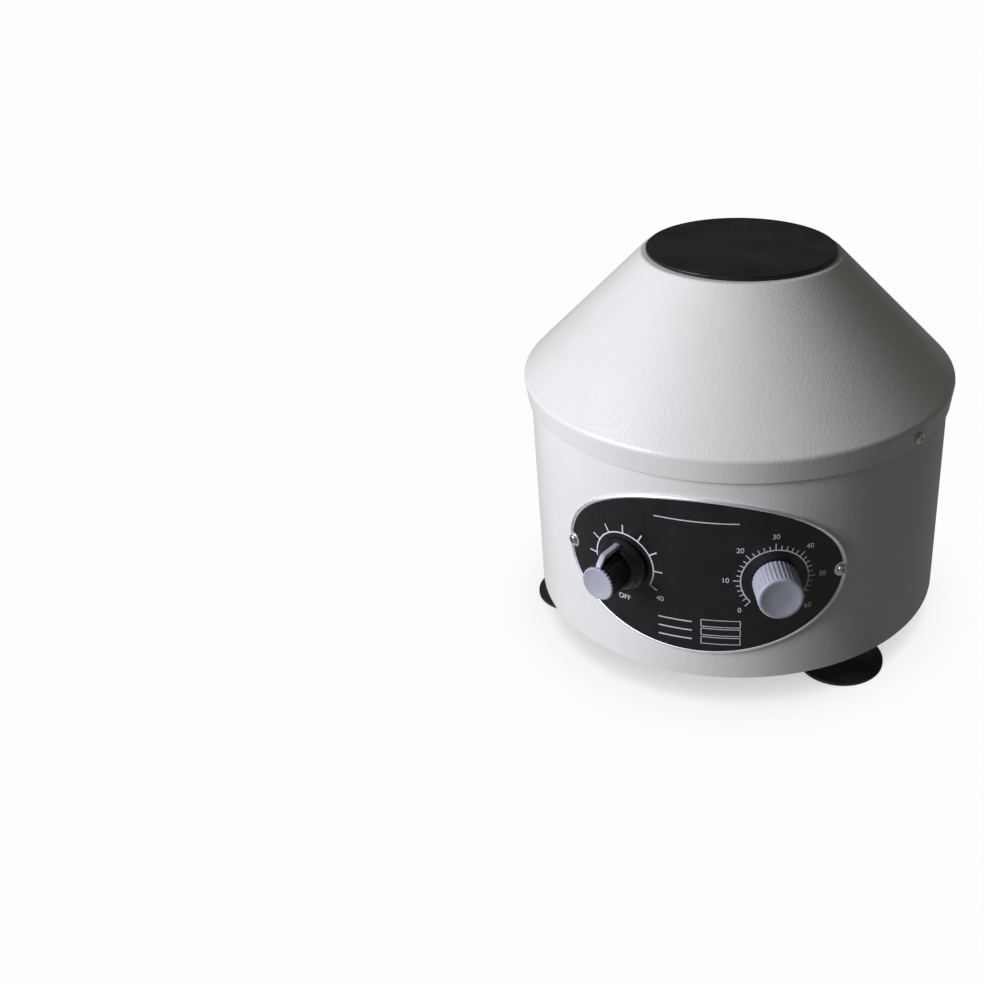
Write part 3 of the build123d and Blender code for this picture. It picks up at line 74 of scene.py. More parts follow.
class Slot(Enum):
    """The record's material slots, each with its name there."""

    HOUSING_PAINT = "housing_paint"
    FACEPLATE_METAL = "faceplate_metal"
    OVERLAY_FILM = "overlay_film"
    BLACK_KNOB = "black_knob"
    LIGHT_KNOB = "light_knob"


def linear(hex_colour: str) -> tuple[float, float, float, float]:
    """Turns an sRGB colour into the linear one that shaders take.

    Args:
        hex_colour: six hexadecimal digits, without a mark in front.

    Returns:
        Linear red, green, blue and an alpha of 1.
    """
    channels = [int(hex_colour[i:i + 2], 16) / 255 for i in (0, 2, 4)]
    flat = [c / 12.92 if c <= 0.04045 else ((c + 0.055) / 1.055) ** 2.4 for c in channels]
    return (flat[0], flat[1], flat[2], 1.0)


def add_node(tree: bpy.types.NodeTree, kind: str, settings: dict, links: dict) -> bpy.types.Node:
    """Adds one node to a material.

    Args:
        tree: the material's node tree.
        kind: the node's type name.
        settings: values for the node's own options, or for its sockets by name or number.
        links: output sockets to join to this node's inputs, by name or number.

    Returns:
        The new node.
    """
    node = tree.nodes.new(kind)
    for key, value in settings.items():
        if isinstance(key, str) and hasattr(node, key):
            setattr(node, key, value)
        else:
            node.inputs[key].default_value = value
    for key, socket in links.items():
        tree.links.new(socket, node.inputs[key])
    return node


@dataclass(frozen=True)
class Finish:
    """A surface with patches of a second tone, uneven gloss, a fine relief and softened edges."""

    name: str
    colour: str
    shade: str
    patch_mm: float = 30.0
    patch_share: float = 0.5
    roughness: float = 0.5
    roughness_spread: float = 0.06
    metallic: float = 0.0
    ior: float = 1.5
    coat: float = 0.0
    grain_mm: float = 0.8
    grain_depth_mm: float = 0.01
    edge_mm: float = 0.15
    stretch: tuple[float, float, float] = (1.0, 1.0, 1.0)

    def relief(self, tree: bpy.types.NodeTree, place: bpy.types.NodeSocket) -> bpy.types.NodeSocket:
        """Height of the surface's texture.

        Args:
            tree: the material's node tree.
            place: socket with the object coordinates.

        Returns:
            Socket that gives the height, from 0 to 1.
        """
        settings = {"Scale": 1 / (self.grain_mm * MM), "Detail": 2.0}
        return add_node(tree, "ShaderNodeTexNoise", settings, {"Vector": place}).outputs["Fac"]

    def tone(self, tree: bpy.types.NodeTree, place: bpy.types.NodeSocket) -> bpy.types.NodeSocket:
        """Colour of the surface.

        Args:
            tree: the material's node tree.
            place: socket with the object coordinates.

        Returns:
            Socket that gives the colour.
        """
        cloud = add_node(
            tree, "ShaderNodeTexNoise",
            {"Scale": 1 / (self.patch_mm * MM), "Detail": 5.0, "Roughness": 0.6}, {"Vector": place},
        )
        share = add_node(
            tree, "ShaderNodeMapRange",
            {"From Min": CLOUD_SPAN[0], "From Max": CLOUD_SPAN[1], "To Max": self.patch_share},
            {"Value": cloud.outputs["Fac"]},
        )
        mixed = add_node(
            tree, "ShaderNodeMix",
            {"data_type": "RGBA", 6: linear(self.colour), 7: linear(self.shade)},
            {0: share.outputs["Result"]},
        )
        return mixed.outputs[2]

    def build(self) -> bpy.types.Material:
        """Makes the material.

        Returns:
            The material, ready to be given to a piece.
        """
        material = bpy.data.materials.new(self.name)
        material.use_nodes = True
        tree = material.node_tree
        shader = tree.nodes["Principled BSDF"]
        origin = add_node(tree, "ShaderNodeTexCoord", {}, {})
        pattern = add_node(
            tree, "ShaderNodeMapping", {"Scale": self.stretch}, {"Vector": origin.outputs["Object"]}
        )
        place = pattern.outputs["Vector"]
        gloss = add_node(
            tree, "ShaderNodeTexNoise",
            {"Scale": 1 / (GLOSS_SHARE * self.patch_mm * MM), "Detail": 5.0}, {"Vector": place},
        )
        rough = add_node(
            tree, "ShaderNodeMapRange",
            {"From Min": GLOSS_SPAN[0], "From Max": GLOSS_SPAN[1],
             "To Min": self.roughness - self.roughness_spread,
             "To Max": self.roughness + self.roughness_spread},
            {"Value": gloss.outputs["Fac"]},
        )
        edge = add_node(tree, "ShaderNodeBevel", {"Radius": self.edge_mm * MM, "samples": 4}, {})
        bump = add_node(
            tree, "ShaderNodeBump", {"Distance": self.grain_depth_mm * MM},
            {"Height": self.relief(tree, place), "Normal": edge.outputs["Normal"]},
        )
        tree.links.new(self.tone(tree, place), shader.inputs["Base Color"])
        tree.links.new(rough.outputs["Result"], shader.inputs["Roughness"])
        tree.links.new(bump.outputs["Normal"], shader.inputs["Normal"])
        shader.inputs["Metallic"].default_value = self.metallic
        shader.inputs["IOR"].default_value = self.ior
        shader.inputs["Coat Weight"].default_value = self.coat
        return material


@dataclass(frozen=True)
class PowderCoat(Finish):
    """Baked powder paint: semi-gloss, with the pebbled skin that breaks a highlight into specks."""

    cell_mm: float = 1.5
    softness: float = 0.8
    grain_share: float = 0.35

    def relief(self, tree: bpy.types.NodeTree, place: bpy.types.NodeSocket) -> bpy.types.NodeSocket:
        """Soft pebbles over a finer grain.

        Args:
            tree: the material's node tree.
            place: socket with the object coordinates.

        Returns:
            Socket that gives the height, from 0 to 1.
        """
        pebbles = add_node(
            tree, "ShaderNodeTexVoronoi",
            {"feature": "SMOOTH_F1", "Scale": 1 / (self.cell_mm * MM), "Smoothness": self.softness},
            {"Vector": place},
        )
        both = add_node(
            tree, "ShaderNodeMath", {"operation": "MULTIPLY_ADD", 1: self.grain_share},
            {0: super().relief(tree, place), 2: pebbles.outputs["Distance"]},
        )
        return both.outputs["Value"]


@dataclass(frozen=True)
class Turned(Finish):
    """Metal cut on a lathe, with fine grooves round the rotor's axis."""

    pitch_mm: float = 0.5

    def relief(self, tree: bpy.types.NodeTree, place: bpy.types.NodeSocket) -> bpy.types.NodeSocket:
        """Rings about the axis, a little uneven.

        Args:
            tree: the material's node tree.
            place: socket with the object coordinates.

        Returns:
            Socket that gives the height, from 0 to 1.
        """
        settings = {
            "wave_type": "RINGS", "rings_direction": "Z", "Scale": WAVE_LENGTH / (self.pitch_mm * MM),
            "Distortion": 0.4, "Detail": 2.0,
        }
        return add_node(tree, "ShaderNodeTexWave", settings, {"Vector": place}).outputs["Fac"]


@dataclass(frozen=True)
class Layered(Finish):
    """Thin sheets, turns of wire or a screw's thread: one line for each step up along Z."""

    layer_mm: float = 1.0

    def relief(self, tree: bpy.types.NodeTree, place: bpy.types.NodeSocket) -> bpy.types.NodeSocket:
        """One ridge for each layer.

        Args:
            tree: the material's node tree.
            place: socket with the object coordinates.

        Returns:
            Socket that gives the height, from 0 to 1.
        """
        settings = {
            "wave_type": "BANDS", "bands_direction": "Z", "Scale": WAVE_LENGTH / (self.layer_mm * MM),
        }
        return add_node(tree, "ShaderNodeTexWave", settings, {"Vector": place}).outputs["Fac"]


class Finishes:
    """The materials of the machine, each made once."""

    # Sheet steel with baked off-white powder paint. The powder flows into soft pebbles about
    # 1.5 mm apart, which break the lamp's reflection into bright specks and blur it elsewhere.
    housing = PowderCoat(
        "powder_coated_steel", "DCDBD8", "D5D4D0", roughness=0.31, roughness_spread=0.03,
        grain_mm=0.5, grain_depth_mm=0.065, patch_mm=60.0, edge_mm=0.1,
    )
    # Sheet steel with thin grey-beige paint sprayed dry: flat, finely gritty, with cloudy patches.
    plate = PowderCoat(
        "painted_base_sheet", "A79F93", "978F84", roughness=0.52, roughness_spread=0.06, grain_mm=0.5,
        grain_depth_mm=0.03, patch_mm=40.0, cell_mm=1.1, edge_mm=0.3,
    )
    # Black ABS, moulded and much handled: satin, with faint warm clouds where it has dulled.
    lid = Finish(
        "moulded_lid_abs", "060607", "221F1C", patch_mm=34.0, patch_share=0.8, roughness=0.38,
        roughness_spread=0.12, grain_mm=0.35, grain_depth_mm=0.012, edge_mm=0.3,
    )
    # Black nitrile rubber, moulded: dull, with the brownish bloom that comes out of it with age.
    rubber = Finish(
        "moulded_nitrile_rubber", "0F0D0C", "2A221B", patch_mm=12.0, patch_share=0.7, roughness=0.58,
        roughness_spread=0.12, grain_mm=0.3, grain_depth_mm=0.01, edge_mm=0.3,
    )
    # Polyester film over the panel, with a fine satin skin: near black, a soft grey sheen.
    film = Finish(
        "satin_polyester_film", "111113", "19191B", patch_mm=9.0, patch_share=0.9, roughness=0.36,
        roughness_spread=0.08, grain_mm=0.25, grain_depth_mm=0.006, edge_mm=0.1,
    )
    # White ink, screen printed: matt and a little grey, since the black shows through it.
    ink = Finish(
        "screen_printed_ink", "D6D8DE", "BFC1C8", patch_mm=2.5, roughness=0.6, grain_mm=0.2,
        grain_depth_mm=0.004, edge_mm=0.02,
    )
    # Aluminium sheet, cut and edge-rolled, then etched: satin, with a soft silky line along the edge.
    trim = Finish(
        "satin_aluminium_sheet", "EEEFF5", "E2E4EA", patch_mm=8.0, roughness=0.5, metallic=1.0, grain_mm=0.2,
        grain_depth_mm=0.004, edge_mm=0.15, stretch=(1.0, 1.0, 8.0),
    )
    # Steel with clear-passivated zinc: bright grey with a faint warm, cloudy tint.
    zinc = Finish(
        "zinc_plated_steel", "D0CEC8", "B4B2AC", patch_mm=3.0, roughness=0.3, metallic=1.0, grain_mm=0.3,
        grain_depth_mm=0.005, edge_mm=0.25,
    )
    # The same zinc on a rolled thread of 0.8 mm pitch, whose ridges catch the light in fine lines.
    thread = Layered(
        "zinc_plated_thread", "B5B3AB", "8F8D87", patch_mm=3.0, roughness=0.34, metallic=1.0,
        grain_depth_mm=0.35, layer_mm=0.8,
    )
    # Steel bar cut on a lathe: bright, with fine rings. The real 0.1 mm rings are too fine to
    # show, so they are drawn 0.5 mm apart.
    turned = Turned(
        "turned_steel", "A9A9A8", "9A9A99", patch_mm=6.0, roughness=0.26, metallic=1.0, grain_depth_mm=0.006,
    )
    # Galvanised steel sheet, pressed: grey, with the flat crystals of its zinc as cloudy facets.
    sheet = Finish(
        "galvanised_sheet", "9FA1A2", "85878A", patch_mm=6.0, patch_share=0.9, roughness=0.42, metallic=1.0,
        grain_mm=0.6, grain_depth_mm=0.006, edge_mm=0.3,
    )
    # Aluminium cast in sand and shot blasted: light grey and evenly rough.
    casting = Finish(
        "cast_aluminium", "A3A4A5", "8C8D8E", patch_mm=10.0, roughness=0.5, metallic=1.0, grain_mm=0.5,
        grain_depth_mm=0.05, edge_mm=0.4,
    )
    # Stainless steel cups, deep drawn: smooth and mirror-like but for faint lengthwise streaks.
    sleeve = Finish(
        "drawn_stainless_steel", "C9C9C8", "BDBDBC", patch_mm=12.0, roughness=0.2, metallic=1.0,
        grain_mm=0.3, grain_depth_mm=0.003, edge_mm=0.3,
    )
    # Punched silicon steel, stacked and varnished: dark, with a line between sheets. The real
    # 0.5 mm sheets are drawn 0.6 mm thick.
    laminations = Layered(
        "stacked_silicon_steel", "55565A", "47484B", patch_mm=5.0, roughness=0.48, metallic=1.0,
        grain_depth_mm=0.05, layer_mm=0.6,
    )
    # Enamelled copper wire, wound and dipped: reddish brown, glossy, ribbed by its turns. The
    # 0.3 mm wire is drawn 0.8 mm thick.
    winding = Layered(
        "enamelled_copper_wire", "9A4A22", "7E3A1A", patch_mm=4.0, roughness=0.3, metallic=1.0, coat=0.5,
        grain_depth_mm=0.25, layer_mm=0.8,
    )
    # Copper, turned and worn by the brushes: pinkish, with darker bands.
    copper = Finish(
        "turned_copper", "B8714A", "94542F", patch_mm=4.0, roughness=0.3, metallic=1.0, grain_mm=0.3,
        grain_depth_mm=0.006,
    )
    # Brass sheet and bar, bent and tumbled: yellow, satin, slightly tarnished.
    brass = Finish(
        "tumbled_brass", "B99A55", "A5873F", patch_mm=5.0, roughness=0.32, metallic=1.0, grain_mm=0.3,
        grain_depth_mm=0.004,
    )
    # Carbon, pressed from powder: dull black with a faint grain.
    carbon = Finish(
        "pressed_carbon", "1D1D1E", "2A2A2B", patch_mm=2.0, roughness=0.6, grain_mm=0.3, grain_depth_mm=0.02,
    )
    # Black phenolic, moulded in a polished die: deep black with a soft gloss.
    black_plastic = Finish(
        "black_moulded_phenolic", "0E0E10", "17171A", patch_mm=6.0, roughness=0.34, grain_mm=0.3,
        grain_depth_mm=0.006, edge_mm=0.3,
    )
    # Lavender-grey ABS, moulded with a fine spark-eroded skin: matt, even, a little chalky.
    light_plastic = Finish(
        "light_moulded_abs", "A9ADBA", "9C9FAB", patch_mm=7.0, roughness=0.46, grain_mm=0.4,
        grain_depth_mm=0.012, edge_mm=0.25,
    )
    # Natural nylon, moulded: cream, waxy, faintly mottled.
    cream_plastic = Finish(
        "moulded_nylon", "D6D0BE", "C9C2AE", patch_mm=8.0, roughness=0.45, grain_mm=0.4,
        grain_depth_mm=0.01,
    )
    # Glass-fibre board with green solder mask: glossy, with the weave's faint mottle.
    board = Finish(
        "glass_fibre_laminate", "1F4A2C", "2B5E3A", patch_mm=3.0, patch_share=0.8, roughness=0.35,
        grain_mm=0.5, grain_depth_mm=0.01,
    )
    # Shrunk PVC sleeve over the can: smooth, glossy blue.
    can = Finish(
        "shrunk_pvc_sleeve", "24406E", "1E375F", patch_mm=6.0, roughness=0.28, grain_mm=0.5,
        grain_depth_mm=0.006,
    )


def fresh_start() -> None:
    """Leaves edit mode and deselects everything, before an operator is used."""
    if bpy.context.object and bpy.context.object.mode != "OBJECT":
        bpy.ops.object.mode_set(mode="OBJECT")
    bpy.ops.object.select_all(action="DESELECT")


def settle(piece: bpy.types.Object, name: str) -> bpy.types.Object:
    """Names a piece and moves its place into its mesh.

    Args:
        piece: the active, selected object.
        name: its name.

    Returns:
        The same object, at the origin and unturned.
    """
    piece.name = name
    piece.data.name = name
    bpy.ops.object.transform_apply(location=True, rotation=True, scale=True)
    return piece


def join(pieces: list[bpy.types.Object]) -> bpy.types.Object:
    """Joins pieces into the first of them.

    Args:
        pieces: the pieces.

    Returns:
        The joined piece, active and selected.
    """
    fresh_start()
    for piece in pieces:
        piece.select_set(True)
    bpy.context.view_layer.objects.active = pieces[0]
    if len(pieces) > 1:
        bpy.ops.object.join()
    return bpy.context.object


def close(gap: float) -> bpy.types.Object:
    """Closes the piece in edit mode: points that meet merge, and its faces point outwards.

    Args:
        gap: how far apart points that meet may lie, in the piece's own units.

    Returns:
        The piece, smooth and out of edit mode.
    """
    bpy.ops.mesh.select_all(action="SELECT")
    bpy.ops.mesh.remove_doubles(threshold=gap)
    bpy.ops.mesh.normals_make_consistent(inside=False)
    bpy.ops.object.mode_set(mode="OBJECT")
    bpy.ops.object.shade_smooth_by_angle(angle=SMOOTH_ANGLE)
    return bpy.context.object


def choose(pick: Pick, test: Callable[[Vector, Vector], bool]) -> None:
    """Selects points, edges or faces of the piece in edit mode by their place in its own mesh.

    Args:
        pick: what is selected.
        test: takes the middle, and the normal or an edge's direction, and says whether it is selected.
    """
    bpy.ops.mesh.select_mode(type=pick.value)
    bpy.ops.mesh.select_all(action="DESELECT")
    mesh = bmesh.from_edit_mesh(bpy.context.object.data)
    if pick is Pick.POINTS:
        found = [(point, point.co, point.normal) for point in mesh.verts]
    elif pick is Pick.EDGES:
        found = [(edge, (edge.verts[0].co + edge.verts[1].co) / 2, edge.verts[1].co - edge.verts[0].co)
                 for edge in mesh.edges]
    else:
        found = [(face, face.calc_center_median(), face.normal) for face in mesh.faces]
    for item, middle, along in found:
        item.select_set(test(middle, along))
    mesh.select_flush_mode()
    bmesh.update_edit_mesh(bpy.context.object.data)


def shrink(share: float) -> None:
    """Draws the selected points towards the Z axis.

    Args:
        share: their new distance as a share of the old.
    """
    bpy.ops.transform.resize(value=(share, share, 1.0), center_override=(0.0, 0.0, 0.0))


def rise(step: float, share: float) -> None:
    """Extrudes the selected face or ring along Z and draws it in or out.

    Args:
        step: how far along Z, in the piece's own units.
        share: its new width as a share of the old.
    """
    bpy.ops.mesh.extrude_region_move(TRANSFORM_OT_translate={"value": (0.0, 0.0, step)})
    shrink(share)


def block(centre: tuple[float, float, float], size: tuple[float, float, float]) -> None:
    """Adds a block and leaves it in edit mode. Its mesh counts places from its own middle.

    Args:
        centre: where its middle is.
        size: its width, depth and height.
    """
    fresh_start()
    bpy.ops.mesh.primitive_cube_add(size=1.0, location=centre)
    bpy.ops.object.mode_set(mode="EDIT")
    bpy.ops.transform.resize(value=size, center_override=centre)


def count_round(point: Vector, sides: int) -> int:
    """Number of one of a ring's points, counted round from the one on +Y.

    Args:
        point: the point.
        sides: how many the ring has.

    Returns:
        The number, from 0.
    """
    return round((point.xy.angle_signed(Vector((0.0, 1.0))) % (2 * pi)) / (2 * pi / sides))


@dataclass
class Dresser:
    """Keeps one material for each finish."""

    made: dict[str, bpy.types.Material] = field(default_factory=dict)

    def material(self, finish: Finish) -> bpy.types.Material:
        """The material of a finish, made the first time that it is asked for.

        Args:
            finish: the finish.

        Returns:
            Its material.
        """
        if finish.name not in self.made:
            self.made[finish.name] = finish.build()
        return self.made[finish.name]

    def dress(self, piece: bpy.types.Object, finish: Finish) -> None:
        """Puts one finish on a whole piece.

        Args:
            piece: the object.
            finish: its finish.
        """
        piece.data.materials.clear()
        piece.data.materials.append(self.material(finish))


@dataclass
class SubAssembly:
    """What every sub-assembly shares: the materials, and how its pieces join the frame."""

    dresser: Dresser

    def dress_nodes(self, looks: dict[str, Finish]) -> None:
        """Dresses pieces that come from the frame.

        Args:
            looks: the finish of each piece, by its name.
        """
        for node, finish in looks.items():
            self.dresser.dress(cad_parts[node], finish)
            log.info("%s dressed as %s", node, finish.name)

    def give(self, piece: bpy.types.Object, finish: Finish, body: str, slot: Slot, *nodes: str) -> None:
        """Dresses a new piece and joins it to the frame.

        Args:
            piece: the piece.
            finish: its finish.
            body: the body that it moves with.
            slot: its material slot; not used.
            nodes: the frame's pieces that it stands for, if any.
        """
        self.dresser.dress(piece, finish)
        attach(piece, body)
        if nodes:
            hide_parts(*nodes)
        log.info("%s made with %d faces", piece.name, len(piece.data.polygons))


@dataclass
class Housing(SubAssembly):
    """Rolled drum and base plate, with the pan under the rotor and what the drum carries."""

    def build(self) -> None:
        """Dresses the housing's pieces."""
        self.dress_nodes({
            "shell": Finishes.housing,
            "base_plate": Finishes.plate,
            "chamber_pan": Finishes.sheet,
            "cover_screws": Finishes.zinc,
            "plate_screws": Finishes.zinc,
            "fixing_tabs": Finishes.zinc,
            "cable_grommet": Finishes.rubber,
            "fuse_holder": Finishes.black_plastic,
            "fuse_cap": Finishes.black_plastic,
        })


@dataclass
class Cover(SubAssembly):
    """Spun sheet cover: a skirt, a tight crease, the cone, and a ledge that turns down into a collar.

    The section of its wall is a line of corners, each with a radius from the axis and a height.
    """

    facets: int = 192
    wall: float = 1.2
    skirt_radius: float = 111.6
    skirt_height: float = 126.1
    crease_radius: float = 113.2
    crease_height: float = 138.1
    crease_round: float = 3.0
    mouth_radius: float = 44.0
    ledge_width: float = 7.5
    ledge_round: float = 2.0
    collar_depth: float = 7.8
    bend_steps: int = 6
    guard: float = 0.5
    weld: float = 0.01

    def section(self) -> list[tuple[Vector, float]]:
        """Corners of the wall's section, from the inside of the skirt's edge outwards.

        Returns:
            Each corner and the radius of its bend.
        """
        edge = self.mouth_radius + self.ledge_width
        ledge = self.crease_height + self.crease_radius - edge
        inner_cone = self.crease_height + self.crease_radius - self.wall / sin(pi / 4)
        under, collar = ledge - self.wall, self.mouth_radius + self.wall
        inside = self.crease_radius - self.wall
        corners = [
            (self.skirt_radius - self.wall, self.skirt_height, 0.0),
            (self.skirt_radius, self.skirt_height, 0.0),
            (self.crease_radius, self.crease_height, self.crease_round),
            (edge, ledge, self.ledge_round),
            (self.mouth_radius, ledge, self.wall),
            (self.mouth_radius, ledge - self.collar_depth, 0.0),
            (collar, ledge - self.collar_depth, 0.0),
            (collar, under, 0.0),
            (inner_cone - under, under, self.ledge_round - self.wall),
            (inside, inner_cone - inside, self.crease_round - self.wall),
        ]
        return [(Vector((radius, height)), bend) for radius, height, bend in corners]

    def bend(self, before: Vector, corner: Vector, after: Vector, radius: float) -> list[Vector]:
        """Rounds one corner, with a point more on each side that keeps the straight walls evenly lit.

        Args:
            before: the corner before it.
            corner: the corner.
            after: the corner after it.
            radius: of the bend, or 0 for a sharp corner.

        Returns:
            The points that stand for the corner.
        """
        if radius == 0.0:
            return [corner]
        back, on = (before - corner).normalized(), (after - corner).normalized()
        half = back.angle(on) / 2
        reach = radius / tan(half)
        centre = corner + (back + on).normalized() * radius / sin(half)
        first, last = corner + back * reach - centre, corner + on * reach - centre
        whole = first.angle(last)
        points = [corner + back * (reach + self.guard)]
        for k in range(self.bend_steps + 1):
            part = whole * k / self.bend_steps
            points.append(centre + (first * sin(whole - part) + last * sin(part)) / sin(whole))
        return points + [corner + on * (reach + self.guard)]

    def build(self) -> None:
        """Raises the cover ring by ring round its section and closes it."""
        corners = self.section()
        rings = []
        for k, (corner, radius) in enumerate(corners):
            after = corners[(k + 1) % len(corners)][0]
            rings += self.bend(corners[k - 1][0], corner, after, radius)
        fresh_start()
        bpy.ops.mesh.primitive_circle_add(
            vertices=self.facets, radius=rings[0].x * MM, fill_type="NOTHING",
            location=(0, 0, rings[0].y * MM),
        )
        settle(bpy.context.object, "spun_cover")
        bpy.ops.object.mode_set(mode="EDIT")
        bpy.ops.mesh.select_all(action="SELECT")
        for ring, following in zip(rings, rings[1:] + rings[:1]):
            rise((following.y - ring.y) * MM, following.x / ring.x)
        cover = close(self.weld * MM)
        self.give(cover, Finishes.housing, "housing", Slot.HOUSING_PAINT, "top_cover")


@dataclass
class Feet(SubAssembly):
    """Three suction feet on threaded studs."""

    def build(self) -> None:
        """Dresses the feet, their studs and nuts."""
        self.dress_nodes({
            "feet": Finishes.rubber,
            "foot_studs": Finishes.thread,
            "foot_nuts": Finishes.zinc,
        })


@dataclass
class Lid(SubAssembly):
    """Lift-off lid with its seal."""

    def build(self) -> None:
        """Dresses the lid and its seal."""
        self.dress_nodes({"lid": Finishes.lid, "lid_gasket": Finishes.rubber})


@dataclass
class Rotor(SubAssembly):
    """Angle head with its six sleeves, on the motor's shaft."""

    def build(self) -> None:
        """Dresses what turns with the shaft."""
        self.dress_nodes({
            "rotor_head": Finishes.casting,
            "tube_sleeves": Finishes.sleeve,
            "tube_cushions": Finishes.rubber,
            "rotor_nut": Finishes.turned,
            "rotor_washer": Finishes.turned,
            "drive_collar": Finishes.turned,
            "motor_shaft": Finishes.turned,
            "armature_core": Finishes.laminations,
            "armature_windings": Finishes.winding,
            "commutator": Finishes.copper,
        })


@dataclass
class Motor(SubAssembly):
    """Fixed half of the brush motor, on its rubber-mounted plate."""

    def build(self) -> None:
        """Dresses the motor's fixed pieces and its mounts."""
        self.dress_nodes({
            "lower_shield": Finishes.casting,
            "upper_shield": Finishes.casting,
            "stator_core": Finishes.laminations,
            "field_coils": Finishes.winding,
            "lower_bearing": Finishes.turned,
            "upper_bearing": Finishes.turned,
            "brushes": Finishes.carbon,
            "brush_holders": Finishes.brass,
            "tie_screws": Finishes.zinc,
            "motor_plate": Finishes.sheet,
            "motor_mounts": Finishes.rubber,
            "mount_studs": Finishes.thread,
            "mount_nuts": Finishes.zinc,
        })


@dataclass
class Controls(SubAssembly):
    """Speed board, potentiometer, timer and terminals behind the panel."""

    def build(self) -> None:
        """Dresses the electrical pieces."""
        self.dress_nodes({
            "control_board": Finishes.board,
            "board_bracket": Finishes.casting,
            "board_heatsink": Finishes.casting,
            "board_spacers": Finishes.brass,
            "board_screws": Finishes.zinc,
            "board_capacitor": Finishes.can,
            "terminal_block": Finishes.cream_plastic,
            "speed_pot": Finishes.sheet,
            "speed_pot_nut": Finishes.zinc,
            "speed_shaft": Finishes.turned,
            "timer_body": Finishes.sheet,
            "timer_nut": Finishes.zinc,
            "timer_shaft": Finishes.turned,
        })


@dataclass
class Knob(SubAssembly):
    """A control knob, built upright in millimetres and then stood on the panel."""

    angle: float
    flute_count: int
    flute: tuple[float, ...]
    foot_radius: float = 111.9
    panel_height: float = 73.5
    weld: float = 0.001

    def sides(self) -> int:
        """Points round the edge of a fluted column."""
        return self.flute_count * len(self.flute)

    def column(
        self, sides: int, profile: list[tuple[float, float]], flutes: tuple[float, ...]
    ) -> bpy.types.Object:
        """Raises a round or fluted column from its outline.

        Args:
            sides: points round its edge.
            profile: radius and height of each ring, from the foot up.
            flutes: how deep each point of one flute lies, repeated round the edge. Empty if it is round.

        Returns:
            The finished mesh.
        """
        fresh_start()
        radius, height = profile[0]
        bpy.ops.mesh.primitive_circle_add(
            vertices=sides, radius=radius, fill_type="NGON", location=(0, 0, 0), rotation=(0, 0, 0)
        )
        bpy.ops.object.mode_set(mode="EDIT")
        for k, depth in enumerate(flutes):
            choose(Pick.POINTS, lambda point, _, k=k: count_round(point, sides) % len(flutes) == k)
            shrink(1 - depth / radius)
        choose(Pick.FACES, lambda middle, _: True)
        bpy.ops.transform.translate(value=(0, 0, height))
        for wide, top in profile[1:]:
            rise(top - height, wide / radius)
            radius, height = wide, top
        return close(self.weld)

    def stand(self, pieces: list[bpy.types.Object], name: str) -> bpy.types.Object:
        """Joins pieces that are built upright and stands them on the panel.

        Args:
            pieces: the pieces, in millimetres, with +Z to become the outward direction and +Y up.
            name: the joined piece's name.

        Returns:
            The joined piece in its place.
        """
        joined = join(pieces)
        a = radians(self.angle)
        axes = Matrix(((-sin(a), 0, cos(a)), (cos(a), 0, sin(a)), (0, 1, 0))).to_4x4()
        place = Vector((self.foot_radius * cos(a), self.foot_radius * sin(a), self.panel_height)) * MM
        joined.matrix_world = Matrix.Translation(place) @ axes @ Matrix.Scale(MM, 4)
        return settle(joined, name)


